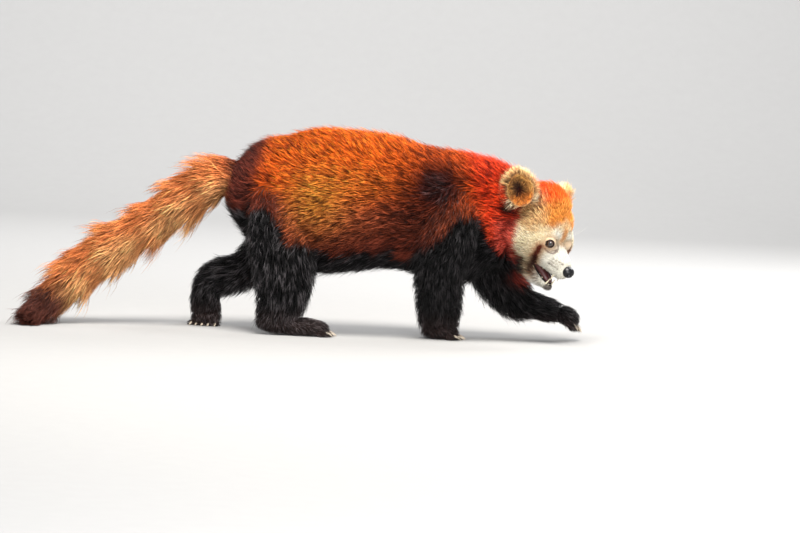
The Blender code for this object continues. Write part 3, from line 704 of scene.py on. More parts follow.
def headColour(inHead):
    p = bothSides(inHead)
    x, y, z = p.T
    wobble = waves(inHead, 12, 21)
    crownEdge = x + 0.35 * (36 - z) * rampStep(0, 20, z) + 3 * wobble
    creamEdge = z + 0.55 * y - 30 + 0.25 * np.maximum(0, -22 - x) + 2 * wobble
    flecks = rampStep(0.35, 0.9, waves(inHead, 4.5, 77)) * rampStep(16, 32, y)
    frayed = 1 + 0.3 * waves(inHead, 5, 61)
    fromEye = p - np.array(eye["at"])
    away = np.linalg.norm(fromEye, axis=1)
    look = math.radians(eye["out"])
    facing = fromEye @ np.array((math.cos(look), math.sin(look), 0)) / (away + 0.01)
    throat = rampStep(-10, -20, x) * rampStep(-42, -50, z - 0.5 * np.maximum(0, 24 - y))
    throat = np.maximum(throat, rampStep(-6, -16, x) * rampStep(-40, -46, z) * rampStep(24, 18, y))
    lipFront = 0.85 * rampStep(20, 25, x) * rampStep(-44, -48, z) * rampStep(-62, -59, z)
    behind = rampStep(3, -5, x + 0.62 * (z + 6) + 50 + 2 * wobble)
    lip = insideMouth(inHead, 0.6) - 0.16 * rampStep(-42, -45, z)
    return layered("forehead", (
        ("crown", 1, rampStep(-34, -54, crownEdge)),
        ("cheekTan", 1, rampStep(24, 40, y + 2 * wobble) * rampStep(-78, -60, x)),
        ("cream", 1, rampStep(7, -7, creamEdge)),
        ("white", 1, rampStep(-8, 6, x) * rampStep(10, 0, z)),
        ("forehead", 1, blob(p, (-6, 0, 14), (16, 7, 13))),
        ("white", 1, np.clip(1.3 * blob(p, (-5, 16, 12), (9, 9, 8)), 0, 1)),
        ("earCream", 1, 0.8 * blob(p, (-58, 46, 22), (9, 12, 14))),
        ("tearStripeAndCreaseShade", 0.7, 0.6 * flecks * rampStep(-14, -30, x + 0.4 * z)),
        ("tearTop", 1, 0.8 * lineShare(p, tearLine, 8) * frayed),
        ("tearStripeAndCreaseShade", 1, np.clip(1.4 * lineShare(p, tearLine[1:], 4) * frayed, 0, 1)),
        ("tearStripeAndCreaseShade", 0.3, np.clip(1.2 * lineShare(p, tearLine[3:], 4.6), 0, 1)),
        ("peach", 1, rampStep(17, 9, away) * 0.65),
        # painted shade in the creases under and beside the eye
        ("tearStripeAndCreaseShade", 0.8, 0.75 * lineShare(p, creaseShadeLine, 1.1)),
        ("tearStripeAndCreaseShade", 0.5, 0.7 * lineShare(p, cornerShadeLine, 1.1)),
        ("lip", 2, rampStep(9.4, 8.9, away) * rampStep(0.56, 0.62, facing)),
        *(("tearStripeAndCreaseShade", 0.3, blob(p, spot, (2.4, 3.0, 1.5))) for spot in whiskerSpots),
        ("black", 1, throat),
        ("mouth", 1, lipFront),
        ("cheekNeck", 1, behind * rampStep(12, 4, z) * rampStep(24, 34, y)),
        ("lip", 1, rampStep(1.22, 1.14, lip)),
        # the inside of the mouth: its flesh, darkened with painted shade
        ("mouth", 1, rampStep(1.07, 1.03, insideMouth(inHead, 0))),
    ))


def earColour(inEar):
    wide, high = ear["size"]
    x, y, z = inEar.T
    fromMiddle = np.sqrt((x / wide) ** 2 + ((z / high - 0.55)) ** 2)
    wisps = rampStep(0.8, 1.05, fromMiddle) * (0.2 + 0.6 * rampStep(0.35, 0.1, z / high))
    streaks = rampStep(0.3, 1.0, waves(inEar, 3.5, 43)) * rampStep(0.2, 0.5, fromMiddle)
    # Painted shade: the hollow of the ear, darkened towards its middle.
    hollow = blob(inEar * np.array((1, 0, 1)), (3, 0, high * 0.66), (8.5, 1, 13))
    hollow = hollow * (1 + 0.45 * waves(inEar, 3, 41))
    front = layered("earCream", (
        ("earOrange", 1, rampStep(0.5, 0.1, z / high) * 0.9),
        ("cream", 1, wisps),
        ("tearStripeAndCreaseShade", 1, 0.55 * streaks),
        ("earHollowShade", 1, np.clip(1.1 * hollow, 0, 1)),
    ))
    rim = 0.5 * (furColours["cream"] + furColours["earCream"])
    back = mixed(furColours["shoulder"] * 0.6, rim, rampStep(0.62, 0.86, fromMiddle))
    return mixed(back, front, rampStep(-6, -1, y))


def coatAt(points):  # everything that the hair needs to know at each point of the skin
    weights, way, depth, shares = limbPlaces(points)
    inHead = inFrame(points, headFrame)
    head = headShare(points, inHead)
    colour = bodyColour(points, weights, shares)
    colour = mixed(colour, headColour(inHead), head)
    ears = {}
    for side in (1, -1):
        inEar = inFrame(points, earFrame(side))
        ears[side] = earShare(inEar)
        colour = mixed(colour, earColour(inEar), ears[side])
    return {
        "weights": weights, "way": way, "depth": depth, "shares": shares, "inHead": inHead,
        "head": head, "ears": ears, "paw": pawShare(points), "colour": np.clip(colour, 0, 1),
    }


# The coat: tufts of hair rooted over the skin, each a thin three-sided spike bent along the lie of the fur.

def eyeDistance(inHead):
    return np.linalg.norm(bothSides(inHead) - np.array(eye["at"]), axis=1)


def faceLie(inHead):  # away from the nose, round the eyes, and back and down over the cheeks
    away = inHead - np.array((44, 0, -20))
    away[:, 1] *= 0.85
    away /= np.linalg.norm(away, axis=1)[:, None]
    side = np.sign(inHead[:, 1:2])
    cheek = rampStep(20, 44, np.abs(inHead[:, 1])) * rampStep(20, 0, inHead[:, 2])
    away += cheek[:, None] * (np.array((-0.5, 0, -0.35)) + side * np.array((0, 0.35, 0)))
    for s in (1, -1):
        around = inHead - np.array(eye["at"]) * np.array((1, s, 1))
        near = rampStep(17, 9, np.linalg.norm(around, axis=1)) * 0.9
        away += near[:, None] * around / (np.linalg.norm(around, axis=1)[:, None] + 0.1)
    return away


coatLift = ((120, -1.0), (170, -0.75), (191, -0.4), (212, 0.0), (235, 0.4), (255, 0.85))  # by height
rumpLift = 0.5
tailFlares = {"count": 8, "stand": 1.5}  # the tail's coat stands off in steps along it
throatHair = {"long": 10, "stand": 12}  # how much longer and farther off the hair of the throat stands
jawHair = {"long": 7, "stand": 9}


def hairAt(coat, points):  # the lie, length, width, depth and spacing of the hair at each point
    limbHair = ("back", "neck", "tail", "legs", "legs", "legs", "legs")
    values = {}
    for key in ("area", "long", "wide"):
        values[key] = coat["weights"] @ np.array([hair[name][key] for name in limbHair])
    inHead = coat["inHead"]
    ahead, aside, above = bothSides(inHead).T
    isHead = coat["head"]
    isPaw = coat["paw"] * (1 - isHead)
    isEar = np.maximum(coat["ears"][1], coat["ears"][-1])
    rear = rampStep(16, -56, ahead)
    faceLong = hair["face"]["long"] * (0.42 + 1.9 * rear * (1 - 0.3 * rampStep(-38, -50, above)))
    faceLong *= 0.45 + 0.55 * rampStep(9, 17, eyeDistance(inHead))
    faceLong *= 1 + 0.55 * rampStep(-16, -38, above) * rampStep(18, 30, aside)
    for key in values:
        face = faceLong if key == "long" else hair["face"][key] * (1 + 0.85 * rear)
        for other, share in ((hair["paws"][key], isPaw), (face, isHead), (hair["ears"][key], isEar)):
            values[key] = values[key] + (other - values[key]) * share
    depth = coat["depth"] * (0.5 + 0.2 * coat["weights"][:, 3:].sum(1))
    tailShare = coat["weights"][:, 2]
    along = coat["shares"][:, 2]
    values["long"] *= 1 - 0.85 * tailShare * rampStep(0.84, 0.95, along)
    flare = (along * tailFlares["count"] + 0.12 * waves(points, 45, 31)) % 1
    depth *= 1 + tailShare * tailFlares["stand"] * (flare ** 2 - 0.25) * rampStep(0.95, 0.85, along)
    depth += (2.2 - depth) * isPaw
    throat = rampStep(4, -14, ahead) * rampStep(-34, -44, above) * rampStep(30, 20, aside)
    chin = rampStep(22, 8, ahead) * rampStep(-45, -55, above) * (1 - throat)
    values["long"] += (throatHair["long"] * throat + jawHair["long"] * chin) * isHead
    stand = 0.9 + 4.6 * rear + throatHair["stand"] * throat + jawHair["stand"] * chin
    depth += (stand - depth) * isHead
    depth += (3.2 - depth) * isEar
    way = coat["way"].copy()
    x, y, z = points.T
    trunk = coat["weights"][:, :2].sum(1)
    lift = np.interp(z, *zip(*coatLift))
    lift = np.maximum(lift, rumpLift * rampStep(-10, -45, x) * rampStep(140, 160, z))
    way[:, 2] += lift * trunk * rampStep(4, 25, np.abs(y))
    thigh = coat["weights"][:, 3:5].sum(1) * rampStep(112, 140, z) * rampStep(-48, -20, x)
    way += thigh[:, None] * np.array((-2.2, 0, -0.3))
    way += outOf(faceLie(inHead), headFrame) * (isHead * 2.2)[:, None]
    for paw in paws.values():
        local = inFrame(points, pawFrame(paw))
        near = rampStep(60, 40, np.linalg.norm(local, axis=1)) * isPaw
        way += near[:, None] * 2 * outOf(np.array([(1, 0, -0.25)]), pawFrame(paw))
    for side in (1, -1):
        inEar = inFrame(points, earFrame(side))
        spread = inEar * np.array((1.3, 0, 1)) - np.array((0, 0, 0.5 * ear["size"][1]))
        spread /= np.linalg.norm(spread, axis=1)[:, None]
        way += outOf(spread, earFrame(side)) * (4 * coat["ears"][side])[:, None]
    values.update({"depth": depth, "way": way, "ear": isEar, "face": isHead, "paw": isPaw})
    return values


def bareSkin(coat, points, normals):  # where no hair grows
    inHead = coat["inHead"]
    isHead = coat["head"] > 0.5
    bare = isHead & (insideMouth(inHead, 0.4) - 0.12 * (inHead[:, 2] < -44) < 1.12)
    bare |= isHead & (eyeDistance(inHead) < eye["radius"] + 2.0)
    onNose = np.linalg.norm((inHead - np.array(nose["at"])) / (np.array(nose["size"]) + 0.3), axis=1)
    bare |= isHead & (onNose < 1)
    return bare | ((points[:, 2] < 4) & (normals[:, 2] < -0.4))


def tuftShape(bends):  # t along the tuft, the way round its section, and its faces
    bm = bmesh.new()
    stand = Matrix.Translation((0, 0, 0.5))
    bmesh.ops.create_cone(bm, cap_ends=True, segments=3, radius1=1, radius2=0, depth=1, matrix=stand)
    bmesh.ops.remove_doubles(bm, verts=bm.verts, dist=0.001)
    for k in range(1, bends):
        geom = bm.verts[:] + bm.edges[:] + bm.faces[:]
        bmesh.ops.bisect_plane(bm, geom=geom, plane_co=(0, 0, k / bends), plane_no=(0, 0, 1))
    bmesh.ops.triangulate(bm, faces=bm.faces)
    bm.verts.index_update()
    points = np.array([v.co for v in bm.verts])
    faces = np.array([[v.index for v in f.verts] for f in bm.faces])
    bm.free()
    t = points[:, 2]
    ring = points[:, :2] / np.maximum(np.linalg.norm(points[:, :2], axis=1), 0.001)[:, None]
    ring[t > 0.999] = 0
    return t, ring, faces


def clumpTips(points, spacing, seed):  # the middle and the tone of the clump that each tuft is in
    draw = np.random.RandomState(seed)
    size = spacing[:, None]
    shift = 0.5 * waves(points, 40, seed)[:, None]
    cell = np.floor(points / size + shift)
    keys = (cell * np.array((73856093, 19349663, 83492791))).sum(1).astype(np.int64) % 1000003
    table = draw.uniform(-1, 1, (1000003, 4))
    middle = (cell + 0.5 + tuftForm["clumpJitter"] * table[keys, :3] - shift) * size
    return middle, table[keys, 3]


def laid(way, normal, ear):  # laid down along the skin, but left to stand out from the ears' rims
    lean = (way * normal).sum(1)
    lean -= 0.85 * ear * np.maximum(lean, 0)
    return unit(way - normal * lean[:, None])


def growRoots():  # where each tuft stands, with all that shapes it, and its place on the unwrap
    mesh = skin.data
    mesh.calc_loop_triangles()
    points = readValues(mesh.vertices, "co", 3)
    normals = readValues(mesh.vertices, "normal", 3)
    corners = readValues(mesh.loop_triangles, "vertices", 3).astype(int)
    loops = readValues(mesh.loop_triangles, "loops", 3).astype(int)
    places = readValues(mesh.uv_layers["OFBake"].uv, "vector", 2)[loops]
    coat = coatAt(points)
    values = hairAt(coat, points)
    skinValues = {"at": points, "normal": normals, "colour": coat["colour"], "limbs": coat["weights"]}
    skinValues.update({key: values[key] for key in ("way", "long", "wide", "depth", "ear", "face", "paw")})
    a, b, c = (points[corners[:, k]] for k in range(3))
    area = np.linalg.norm(np.cross(b - a, c - a), axis=1) / 2
    bare = bareSkin(coat, points, normals)[corners].mean(1)
    expected = np.cumsum(area / values["area"][corners].mean(1) * (bare < 0.4))
    draw = np.random.RandomState(coatSeed)
    count = int(expected[-1])
    picks = np.searchsorted(expected, np.arange(count) + draw.uniform(0, 1, count))
    picks = np.minimum(picks, len(area) - 1)
    share = draw.uniform(0, 1, (count, 2))
    fold = share.sum(1) > 1
    share[fold] = 1 - share[fold]
    share = np.column_stack((1 - share.sum(1), share))
    roots = {
        key: (value[corners[picks]] * (share if value.ndim == 1 else share[..., None])).sum(1)
        for key, value in skinValues.items()
    }
    roots["patch"] = (places[picks] * share[..., None]).sum(1)
    normal = unit(roots["normal"])
    way = laid(unit(roots["way"]), normal, roots["ear"])
    seen = roots["at"] + way * 0.62 * roots["long"][:, None] + normal * 0.6 * roots["depth"][:, None]
    roots["colour"] = coatAt(seen)["colour"]
    return roots, coat["colour"]


def tuftMesh(name, roots, bends, seed):
    draw = np.random.RandomState(seed)
    at, way, colour = roots["at"], roots["way"], roots["colour"]
    long, wide, depth = roots["long"], roots["wide"], roots["depth"]
    isEar, isFace, isPaw = roots["ear"], roots["face"], roots["paw"]
    count = len(at)
    fluff = np.maximum(roots["limbs"][:, 2], 0)
    normal = unit(roots["normal"])
    swirl = np.column_stack([waves(at, 34, seed + k) for k in range(3)]) * tuftForm["swirl"]
    swirl += draw.normal(0, tuftForm["scatter"], (count, 3))
    way = laid(unit(way), normal, isEar)
    way = unit(way + swirl - normal * (swirl * normal).sum(1)[:, None])
    cross = unit(np.cross(normal, way))
    stray = draw.uniform(0, 1, count)
    length = long * (0.72 + 0.5 * draw.uniform(0, 1, count)) * (1 + 0.3 * (stray > 0.93))
    rise = depth * (0.6 + 0.6 * draw.uniform(0, 1, count) + 0.45 * (stray > 0.92)) + 0.1 * fluff * depth
    bend = draw.normal(0, tuftForm["bend"], count)
    sink = 0.12 * depth + 0.5
    t, ring, faces = tuftShape(bends)
    spread = np.interp(t, *zip(*tuftForm["taper"]))
    place = at[:, None, :] + way[:, None, :] * (length[:, None] * t)[..., None]
    height = -sink[:, None] + (rise + sink)[:, None] * (1 - (1 - t) ** 1.8)
    place += normal[:, None, :] * height[..., None]
    place += cross[:, None, :] * (bend * length)[:, None, None] * (t * t)[None, :, None]
    clump, tone = clumpTips(at, np.clip(tuftForm["clumpSize"] * long, 1.5, 9), seed + 7)
    pull = clump - at
    pull -= normal * (pull * normal).sum(1)[:, None]
    place += pull[:, None, :] * (tuftForm["pull"] * t * t)[None, :, None]
    half = 0.5 * wide * draw.uniform(0.75, 1.3, count)
    place += cross[:, None, :] * (half[:, None] * spread * ring[:, 0])[..., None]
    place += normal[:, None, :] * (0.55 * half[:, None] * spread * ring[:, 1])[..., None]
    place[..., 2] -= (tuftForm["droop"] * length)[:, None] * t * t
    place[..., 2] = np.maximum(place[..., 2], 0.6)
    contrast = 0.84 - 0.38 * isFace + 0.2 * isPaw - 0.42 * fluff
    brightness = (1 + 0.22 * draw.normal(size=count)) * (1 + tone * contrast)
    # Dark roots and pale tips: partly the hair's own darker undercoat, partly painted shade deep in the coat.
    shade = np.interp(t, *zip(*tuftForm["shade"]))[None, :] * np.clip(brightness, 0.22, 2)[:, None]
    ticked = draw.uniform(0, 1, count) < tuftForm["ticks"] - 0.14 * fluff
    ticked = ticked * (isFace < 0.5) * (isEar < 0.5)
    shade = shade * (1 - 0.7 * ticked[:, None] * (t > 0.3))
    # Painted highlight: grey laid into the tips of the palest clumps of black hair, standing in for light
    # glancing off them.
    gloss = rampStep(0.2, 1, tone) * rampStep(0.09, 0.03, colour.max(1))
    gloss = gloss * np.interp(at[:, 0], *zip(*blackHairHighlight)) * (1 - isFace)
    gloss = gloss[:, None, None] * furColours["paintedHighlightGrey"] * t[None, :, None]
    tint = np.clip(colour[:, None, :] * shade[..., None] + gloss, 0.0015, 1)
    perTuft = len(t)
    index = faces[None] + (np.arange(count) * perTuft)[:, None, None]
    patch = roots["patch"][:, None, :] + tuftPatch * np.column_stack((0.4 * ring[:, 0], t - 0.5))[None]
    mesh = bpy.data.meshes.new(name)
    mesh.vertices.add(count * perTuft)
    mesh.vertices.foreach_set("co", place.astype(np.float32).ravel())
    mesh.loops.add(index.size)
    mesh.loops.foreach_set("vertex_index", index.astype(np.int32).ravel())
    mesh.polygons.add(index.size // 3)
    mesh.polygons.foreach_set("loop_start", np.arange(0, index.size, 3, dtype=np.int32))
    mesh.update(calc_edges=True)
    layer = mesh.uv_layers.new(name="OFBake")
    layer.uv.foreach_set("vector", patch.reshape(-1, 2)[index.ravel()].astype(np.float32).ravel())
    paint(mesh, tint.reshape(-1, 3), np.tile(t, count))
    obj = bpy.data.objects.new(name, mesh)
    bpy.context.scene.collection.objects.link(obj)
    return obj


def coatRegions(roots):  # which piece of the coat each tuft belongs to
    x = roots["at"][:, 0]
    limb = roots["limbs"].argmax(1)
    region = np.full(len(x), "coat_flank", dtype=object)
    for name, inside in (
        ("rump", x < 20), ("shoulders", x > 135), ("neck", limb == 1), ("tail_root", limb == 2),
        ("tail_end", (limb == 2) & (x < -200)), ("hind_legs", (limb == 3) | (limb == 4)),
        ("front_legs", limb > 4), ("paws", roots["paw"] > 0.5), ("face", roots["face"] > 0.5),
        ("ears", roots["ear"] > 0.5),
    ):
        region[inside] = "coat_" + name
    return region


allRoots, skinColours = growRoots()
# the skin takes the coat's colour, darkened for the undercoat and for painted shade beneath the hair
paint(skin.data, skinColours * undercoatAndShade, np.zeros(len(skinColours)))
regions = coatRegions(allRoots)
coatPieces = []
for number, name in enumerate(sorted(set(regions))):
    roots = {key: value[regions == name] for key, value in allRoots.items()}
    piece = tuftMesh(name, roots, tuftBends.get(name.split("_")[1], 2), coatSeed + 20 * number)
    coatPieces.append(piece)
    print(name, len(roots["at"]), "tufts,", len(piece.data.polygons), "faces")


# The bare parts of the head: eyes, lid rims, nose, tongue, teeth and whiskers.

eyeLook = {
    "pupil": 2.4, "iris": 5.0,
    "pupilColour": (0.001, 0.001, 0.001),
    "irisColour": (0.050, 0.020, 0.010),
    "rimColour": (0.010, 0.005, 0.003),
}


def makeEye(name, side):  # a ball with a clear bulge in front, dark brown round a black pupil
    bm = bmesh.new()
    for v in addBall(bm, (0, 0, 0), [eye["radius"]] * 3, turned(90, "Y"), 40, 40):
        off = math.hypot(v.co.y, v.co.z)
        if v.co.x > 0:
            v.co.x += eye["cornea"] * max(0.0, 1 - (off / 5.6) ** 2)
    bm.transform(eyeFrame(side))
    obj = meshObject(name, bm)
    points = inFrame(readValues(obj.data.vertices, "co", 3), eyeFrame(side))
    off = np.hypot(points[:, 1], points[:, 2])
    angle = np.arctan2(points[:, 2], points[:, 1])
    spokes = 0.75 + 0.25 * np.sin(23 * angle) * np.sin(11 * angle + 1)
    pupil, iris = eyeLook["pupil"], eyeLook["iris"]
    colours = np.array(eyeLook["irisColour"]) * spokes[:, None]
    colours = mixed(colours, np.array(eyeLook["pupilColour"]), rampStep(pupil + 0.3, pupil - 0.2, off))
    colours = mixed(colours, np.array(eyeLook["rimColour"]), rampStep(iris - 0.8, iris, off))
    paint(obj.data, colours, np.ones(len(colours)))
    return obj


lidRim = {"radius": 0.5, "across": 5.3, "high": 6.4, "reach": 7.6}


def makeLidRim(name, side):  # the bare dark edge of the lids, drawn out to a corner at each end
    bm = bmesh.new()
    ring = bmesh.ops.create_circle(bm, segments=12, radius=lidRim["radius"], matrix=turned(90, "X"))
    bmesh.ops.translate(bm, verts=ring["verts"], vec=(lidRim["across"], 0, 0))
    bmesh.ops.spin(
        bm, geom=bm.verts[:] + bm.edges[:], cent=(0, 0, 0), axis=(0, 0, 1),
        angle=math.tau, steps=64, use_merge=True,
    )
    for v in bm.verts:
        angle = math.atan2(v.co.y, v.co.x)
        off = math.hypot(v.co.x, v.co.y)
        height = v.co.z
        across = off * math.cos(angle) * (1 + 0.10 * abs(math.cos(angle)) ** 6)
        up = off * math.sin(angle) * lidRim["high"] / lidRim["across"]
        away = min(math.hypot(across, up), 7.1)
        v.co = (math.sqrt(lidRim["reach"] ** 2 - away * away) + height, across * side, up)
    bm.transform(eyeFrame(side))
    return meshObject(name, bm)


noseForm = {"groove": 0.9, "nostrilDeep": 3.4, "wing": 0.8}


def makeNose():  # a leathery pad with a groove down its middle and a comma of a nostril in each side
    bm = bmesh.new()
    for v in addBall(bm, (0, 0, 0), nose["size"], None, 96, 64):
        x, y, z = v.co
        if x > -2:
            front = min(1.0, (x + 2) / 4)
            v.co.x -= noseForm["groove"] * math.exp(-(y / 0.7) ** 2) * front * (1 if z < 3 else 0.4)
            for side in (1, -1):
                dy = (y * side - 4.5) / 2.0
                dz = (z + 0.9 + 0.35 * (y * side - 4.5)) / 1.45
                v.co.x -= noseForm["nostrilDeep"] * math.exp(-(dy * dy + dz * dz) ** 1.5) * front
                rim = math.exp(-((math.hypot(dy, dz) - 1.5) / 0.45) ** 2)
                v.co.x += 0.35 * noseForm["wing"] * rim * front
            v.co.z -= 0.05 * z * abs(y) / nose["size"][1]
    bm.transform(headFrame @ Matrix.Translation(nose["at"]))
    return meshObject("nose_pad", bm)


def makeTongue():
    bm = bmesh.new()
    addTube(bm, tongue, sides=32, steps=6)
    for v in bm.verts:
        v.co.z -= 1.3 * math.exp(-(v.co.y / 1.6) ** 2) * (1 if v.co.z > -47 else 0.3)
    bm.transform(headFrame)
    return meshObject("tongue_flesh", bm)


teeth = {  # x, y, z of the root in the head's frame, length, radius; upper ones point down
    "canines": ((25, 8.5, -33, -10.5, 1.7), (22, 6.5, -51, 9, 1.5)),
    "cheek": ((12, 9.6, -35, -3.4, 1.5), (6, 10, -36, -3.6, 1.7), (0, 10.2, -36.5, -3.6, 1.8),
              (12, 7.6, -50.5, 3.2, 1.4), (6, 8, -50, 3.4, 1.6), (0, 8.3, -49, 3.6, 1.7)),
    "front": ((28.5, 1.2, -32.5, -2.6, 0.8), (28.2, 3.2, -32.5, -2.9, 0.8), (27.6, 5.2, -32.5, -3.2, 0.9),
              (25.5, 1.0, -52, 2.4, 0.7), (25.2, 2.8, -52, 2.6, 0.7), (24.8, 4.4, -52, 2.8, 0.8)),
}


def spike(bm, root, tip, radius, bow, sides, steps, taper=0.75):  # a curved cone, closed at both ends
    root, tip = Vector(root), Vector(tip)
    line = []
    for i in range(steps + 1):
        t = i / steps
        line.append(root.lerp(tip, t) + Vector(bow) * (4 * t * (1 - t)))
    rings = []
    for i in range(steps + 1):
        here, _, across, up = frameAt(line, i)
        along = across.cross(up)
        width = radius * max(0.06, (1 - i / steps) ** taper)
        turn = Matrix((across, up, along)).transposed().to_4x4()
        ring = bmesh.ops.create_circle(
            bm, cap_ends=i in (0, steps), segments=sides, radius=width,
            matrix=Matrix.Translation(here) @ turn,
        )
        rings.append(ring["verts"])
    bridgeRings(bm, rings)


def makeTeeth():
    bm = bmesh.new()
    for row in teeth.values():
        for x, y, z, long, radius in row:
            for side in (1, -1):
                root = (x, y * side, z - 0.25 * long)
                tip = (x + 0.08 * abs(long), y * side, z + long)
                spike(bm, root, tip, radius, (0.05 * long, 0, 0), 12, 6, 0.6)
    bm.transform(headFrame)
    return meshObject("teeth", bm)


whisker = {"long": 26, "radius": 0.09, "droop": 7}


def makeWhiskers():
    bm = bmesh.new()
    draw = np.random.RandomState(coatSeed + 3)
    for x, y, z in whiskerSpots:
        for side in (1, -1):
            long = whisker["long"] * draw.uniform(0.65, 1.1) * (0.75 + 0.02 * (26 - x))
            way = Vector((-0.35 + draw.normal(0, 0.12), side, -0.18 + draw.normal(0, 0.12))).normalized()
            root = Vector((x, (y - 1.5) * side, z))
            spike(bm, root, root + way * long, whisker["radius"], (2.5, 0, whisker["droop"] * 0.35), 5, 5)
    for x, y, z in ((-8, 21, 17), (-10, 18, 18), (-7, 24, 16)):
        for side in (1, -1):
            root = Vector((x, y * side, z))
            way = Vector((0.1, 0.45 * side, 0.9)).normalized()
            spike(bm, root, root + way * draw.uniform(16, 24), 0.12, (2, 0, 0), 5, 5)
    bm.transform(headFrame)
    return meshObject("whiskers", bm)


def makeClaws(name, paw):
    bm = bmesh.new()
    for i in range(toe["count"]):
        side = i - (toe["count"] - 1) / 2
        root = toeMiddle(paw, i) + Vector((toe["size"][0] - 5, 0, 1.8))
        tip = root + Vector((claw["long"] + 0.5, side * 0.6, -claw["long"] * claw["drop"] - 0.5))
        spike(bm, root, tip, claw["radius"], (0, 0, claw["hook"]), 14, 10, 0.7)
    bm.transform(pawFrame(paw))
    for v in bm.verts:
        v.co.z = max(v.co.z, 0.5)
    return meshObject("claws_" + name, bm)


eyes = [makeEye("eye_right_ball", -1), makeEye("eye_left_ball", 1)]
lidRims = [makeLidRim("lid_rim_right", -1), makeLidRim("lid_rim_left", 1)]
nosePad = makeNose()
tongueFlesh = makeTongue()
toothRow = makeTeeth()
whiskerHairs = makeWhiskers()
claws = [makeClaws(name, paw) for name, paw in paws.items()]
print("eyes, nose, tongue, teeth, whiskers and claws")


# Finishes.

def addNode(tree, kind, inputs=None, **settings):
    node = tree.nodes.new(kind)
    for key, value in settings.items():
        setattr(node, key, value)
    setInputs(node, inputs or {})
    return node


def setInputs(node, values):
    for key, value in values.items():
        node.inputs[key].default_value = value


def shaderTree(name, roughness, gloss, more):
    mat = bpy.data.materials.new(name)
    mat.use_nodes = True
    shader = mat.node_tree.nodes["Principled BSDF"]
    setInputs(shader, {"Roughness": roughness, "Specular IOR Level": gloss, **more})
    return mat, mat.node_tree, shader


def wire(tree, links):  # each link is a node, its output, the next node and its input
    for source, output, target, key in links:
        tree.links.new(source.outputs[output], target.inputs[key])


def hairStreaks():  # fine hairs drawn along each tuft, as a tone and a height
    group = bpy.data.node_groups.new("hair streaks", "ShaderNodeTree")
    for name, way, kind in (
        ("Colour", "INPUT", "Color"), ("Contrast", "INPUT", "Float"),
        ("Colour", "OUTPUT", "Color"), ("Height", "OUTPUT", "Float"),
    ):
        group.interface.new_socket(name, in_out=way, socket_type="NodeSocket" + kind)
    start = addNode(group, "NodeGroupInput")
    end = addNode(group, "NodeGroupOutput")
    place = addNode(group, "ShaderNodeUVMap", uv_map="OFBake")
    stretch = addNode(group, "ShaderNodeMapping", {"Scale": (2600, 260, 1)})
    noise = addNode(group, "ShaderNodeTexNoise", {"Scale": 1.0, "Detail": 3.0})
    tone = addNode(group, "ShaderNodeMapRange", {"From Min": 0.3, "From Max": 0.7, "To Max": 1.12})
    low = addNode(group, "ShaderNodeMath", {0: 1.0}, operation="SUBTRACT")
    scale = addNode(group, "ShaderNodeVectorMath", operation="SCALE")
    wire(group, (
        (place, "UV", stretch, "Vector"), (stretch, "Vector", noise, "Vector"), (noise, "Fac", tone, "Value"),
        (start, "Contrast", low, 1), (low, "Value", tone, "To Min"), (start, "Colour", scale, 0),
        (tone, "Result", scale, "Scale"), (scale, "Vector", end, "Colour"), (noise, "Fac", end, "Height"),
    ))
    return group


streaks = hairStreaks()


def furFinish(name, roughness, gloss, sheen, contrast):
    mat, tree, shader = shaderTree(name, roughness, gloss, {"Sheen Weight": sheen, "Sheen Roughness": 0.45})
    colour = addNode(tree, "ShaderNodeAttribute", attribute_name="coatColour")
    fine = addNode(tree, "ShaderNodeGroup", node_tree=streaks)
    setInputs(fine, {"Contrast": contrast})
    bump = addNode(tree, "ShaderNodeBump", {"Strength": 0.35, "Distance": 0.0004})
    wire(tree, (
        (colour, "Color", fine, "Colour"), (fine, "Colour", shader, "Base Color"),
        (fine, "Height", bump, "Height"), (bump, "Normal", shader, "Normal"),
    ))
    return mat


def grainFinish(name, colour, roughness, scale, strength, distance, gloss=0.5, light=1.5):
    mat, tree, shader = shaderTree(name, roughness, gloss, {"Coat Roughness": 0.06})
    place = addNode(tree, "ShaderNodeTexCoord")
    grain = addNode(tree, "ShaderNodeTexNoise", {"Scale": scale, "Detail": 6})
    tone = addNode(tree, "ShaderNodeMix", data_type="RGBA")
    setInputs(tone, {"A": (*[c * 0.6 for c in colour], 1), "B": (*[min(1, c * light) for c in colour], 1)})
    bump = addNode(tree, "ShaderNodeBump", {"Strength": strength, "Distance": distance})
    wire(tree, (
        (place, "Object", grain, "Vector"), (grain, "Fac", tone, "Factor"), (grain, "Fac", bump, "Height"),
        (bump, "Normal", shader, "Normal"), (tone, "Result", shader, "Base Color"),
    ))
    return mat


def paintedFinish(name, roughness, gloss, coat):  # takes its colour from the piece's own paint
    mat, tree, shader = shaderTree(name, roughness, gloss, {"Coat Weight": coat, "Coat Roughness": 0.03})
    colour = addNode(tree, "ShaderNodeAttribute", attribute_name="coatColour")
    wire(tree, ((colour, "Color", shader, "Base Color"),))
    return mat


def studioFinish():  # an even pale paper, faintly mottled
    mat, tree, shader = shaderTree("studio paper", 0.9, 0.1, {})
    place = addNode(tree, "ShaderNodeTexCoord")
    mottle = addNode(tree, "ShaderNodeTexNoise", {"Scale": 45})
    tone = addNode(tree, "ShaderNodeMix", data_type="RGBA")
    setInputs(tone, {"A": (0.325, 0.32, 0.315, 1), "B": (0.34, 0.335, 0.33, 1)})
    wire(tree, (
        (place, "Object", mottle, "Vector"), (mottle, "Fac", tone, "Factor"),
        (tone, "Result", shader, "Base Color"),
    ))
    return mat


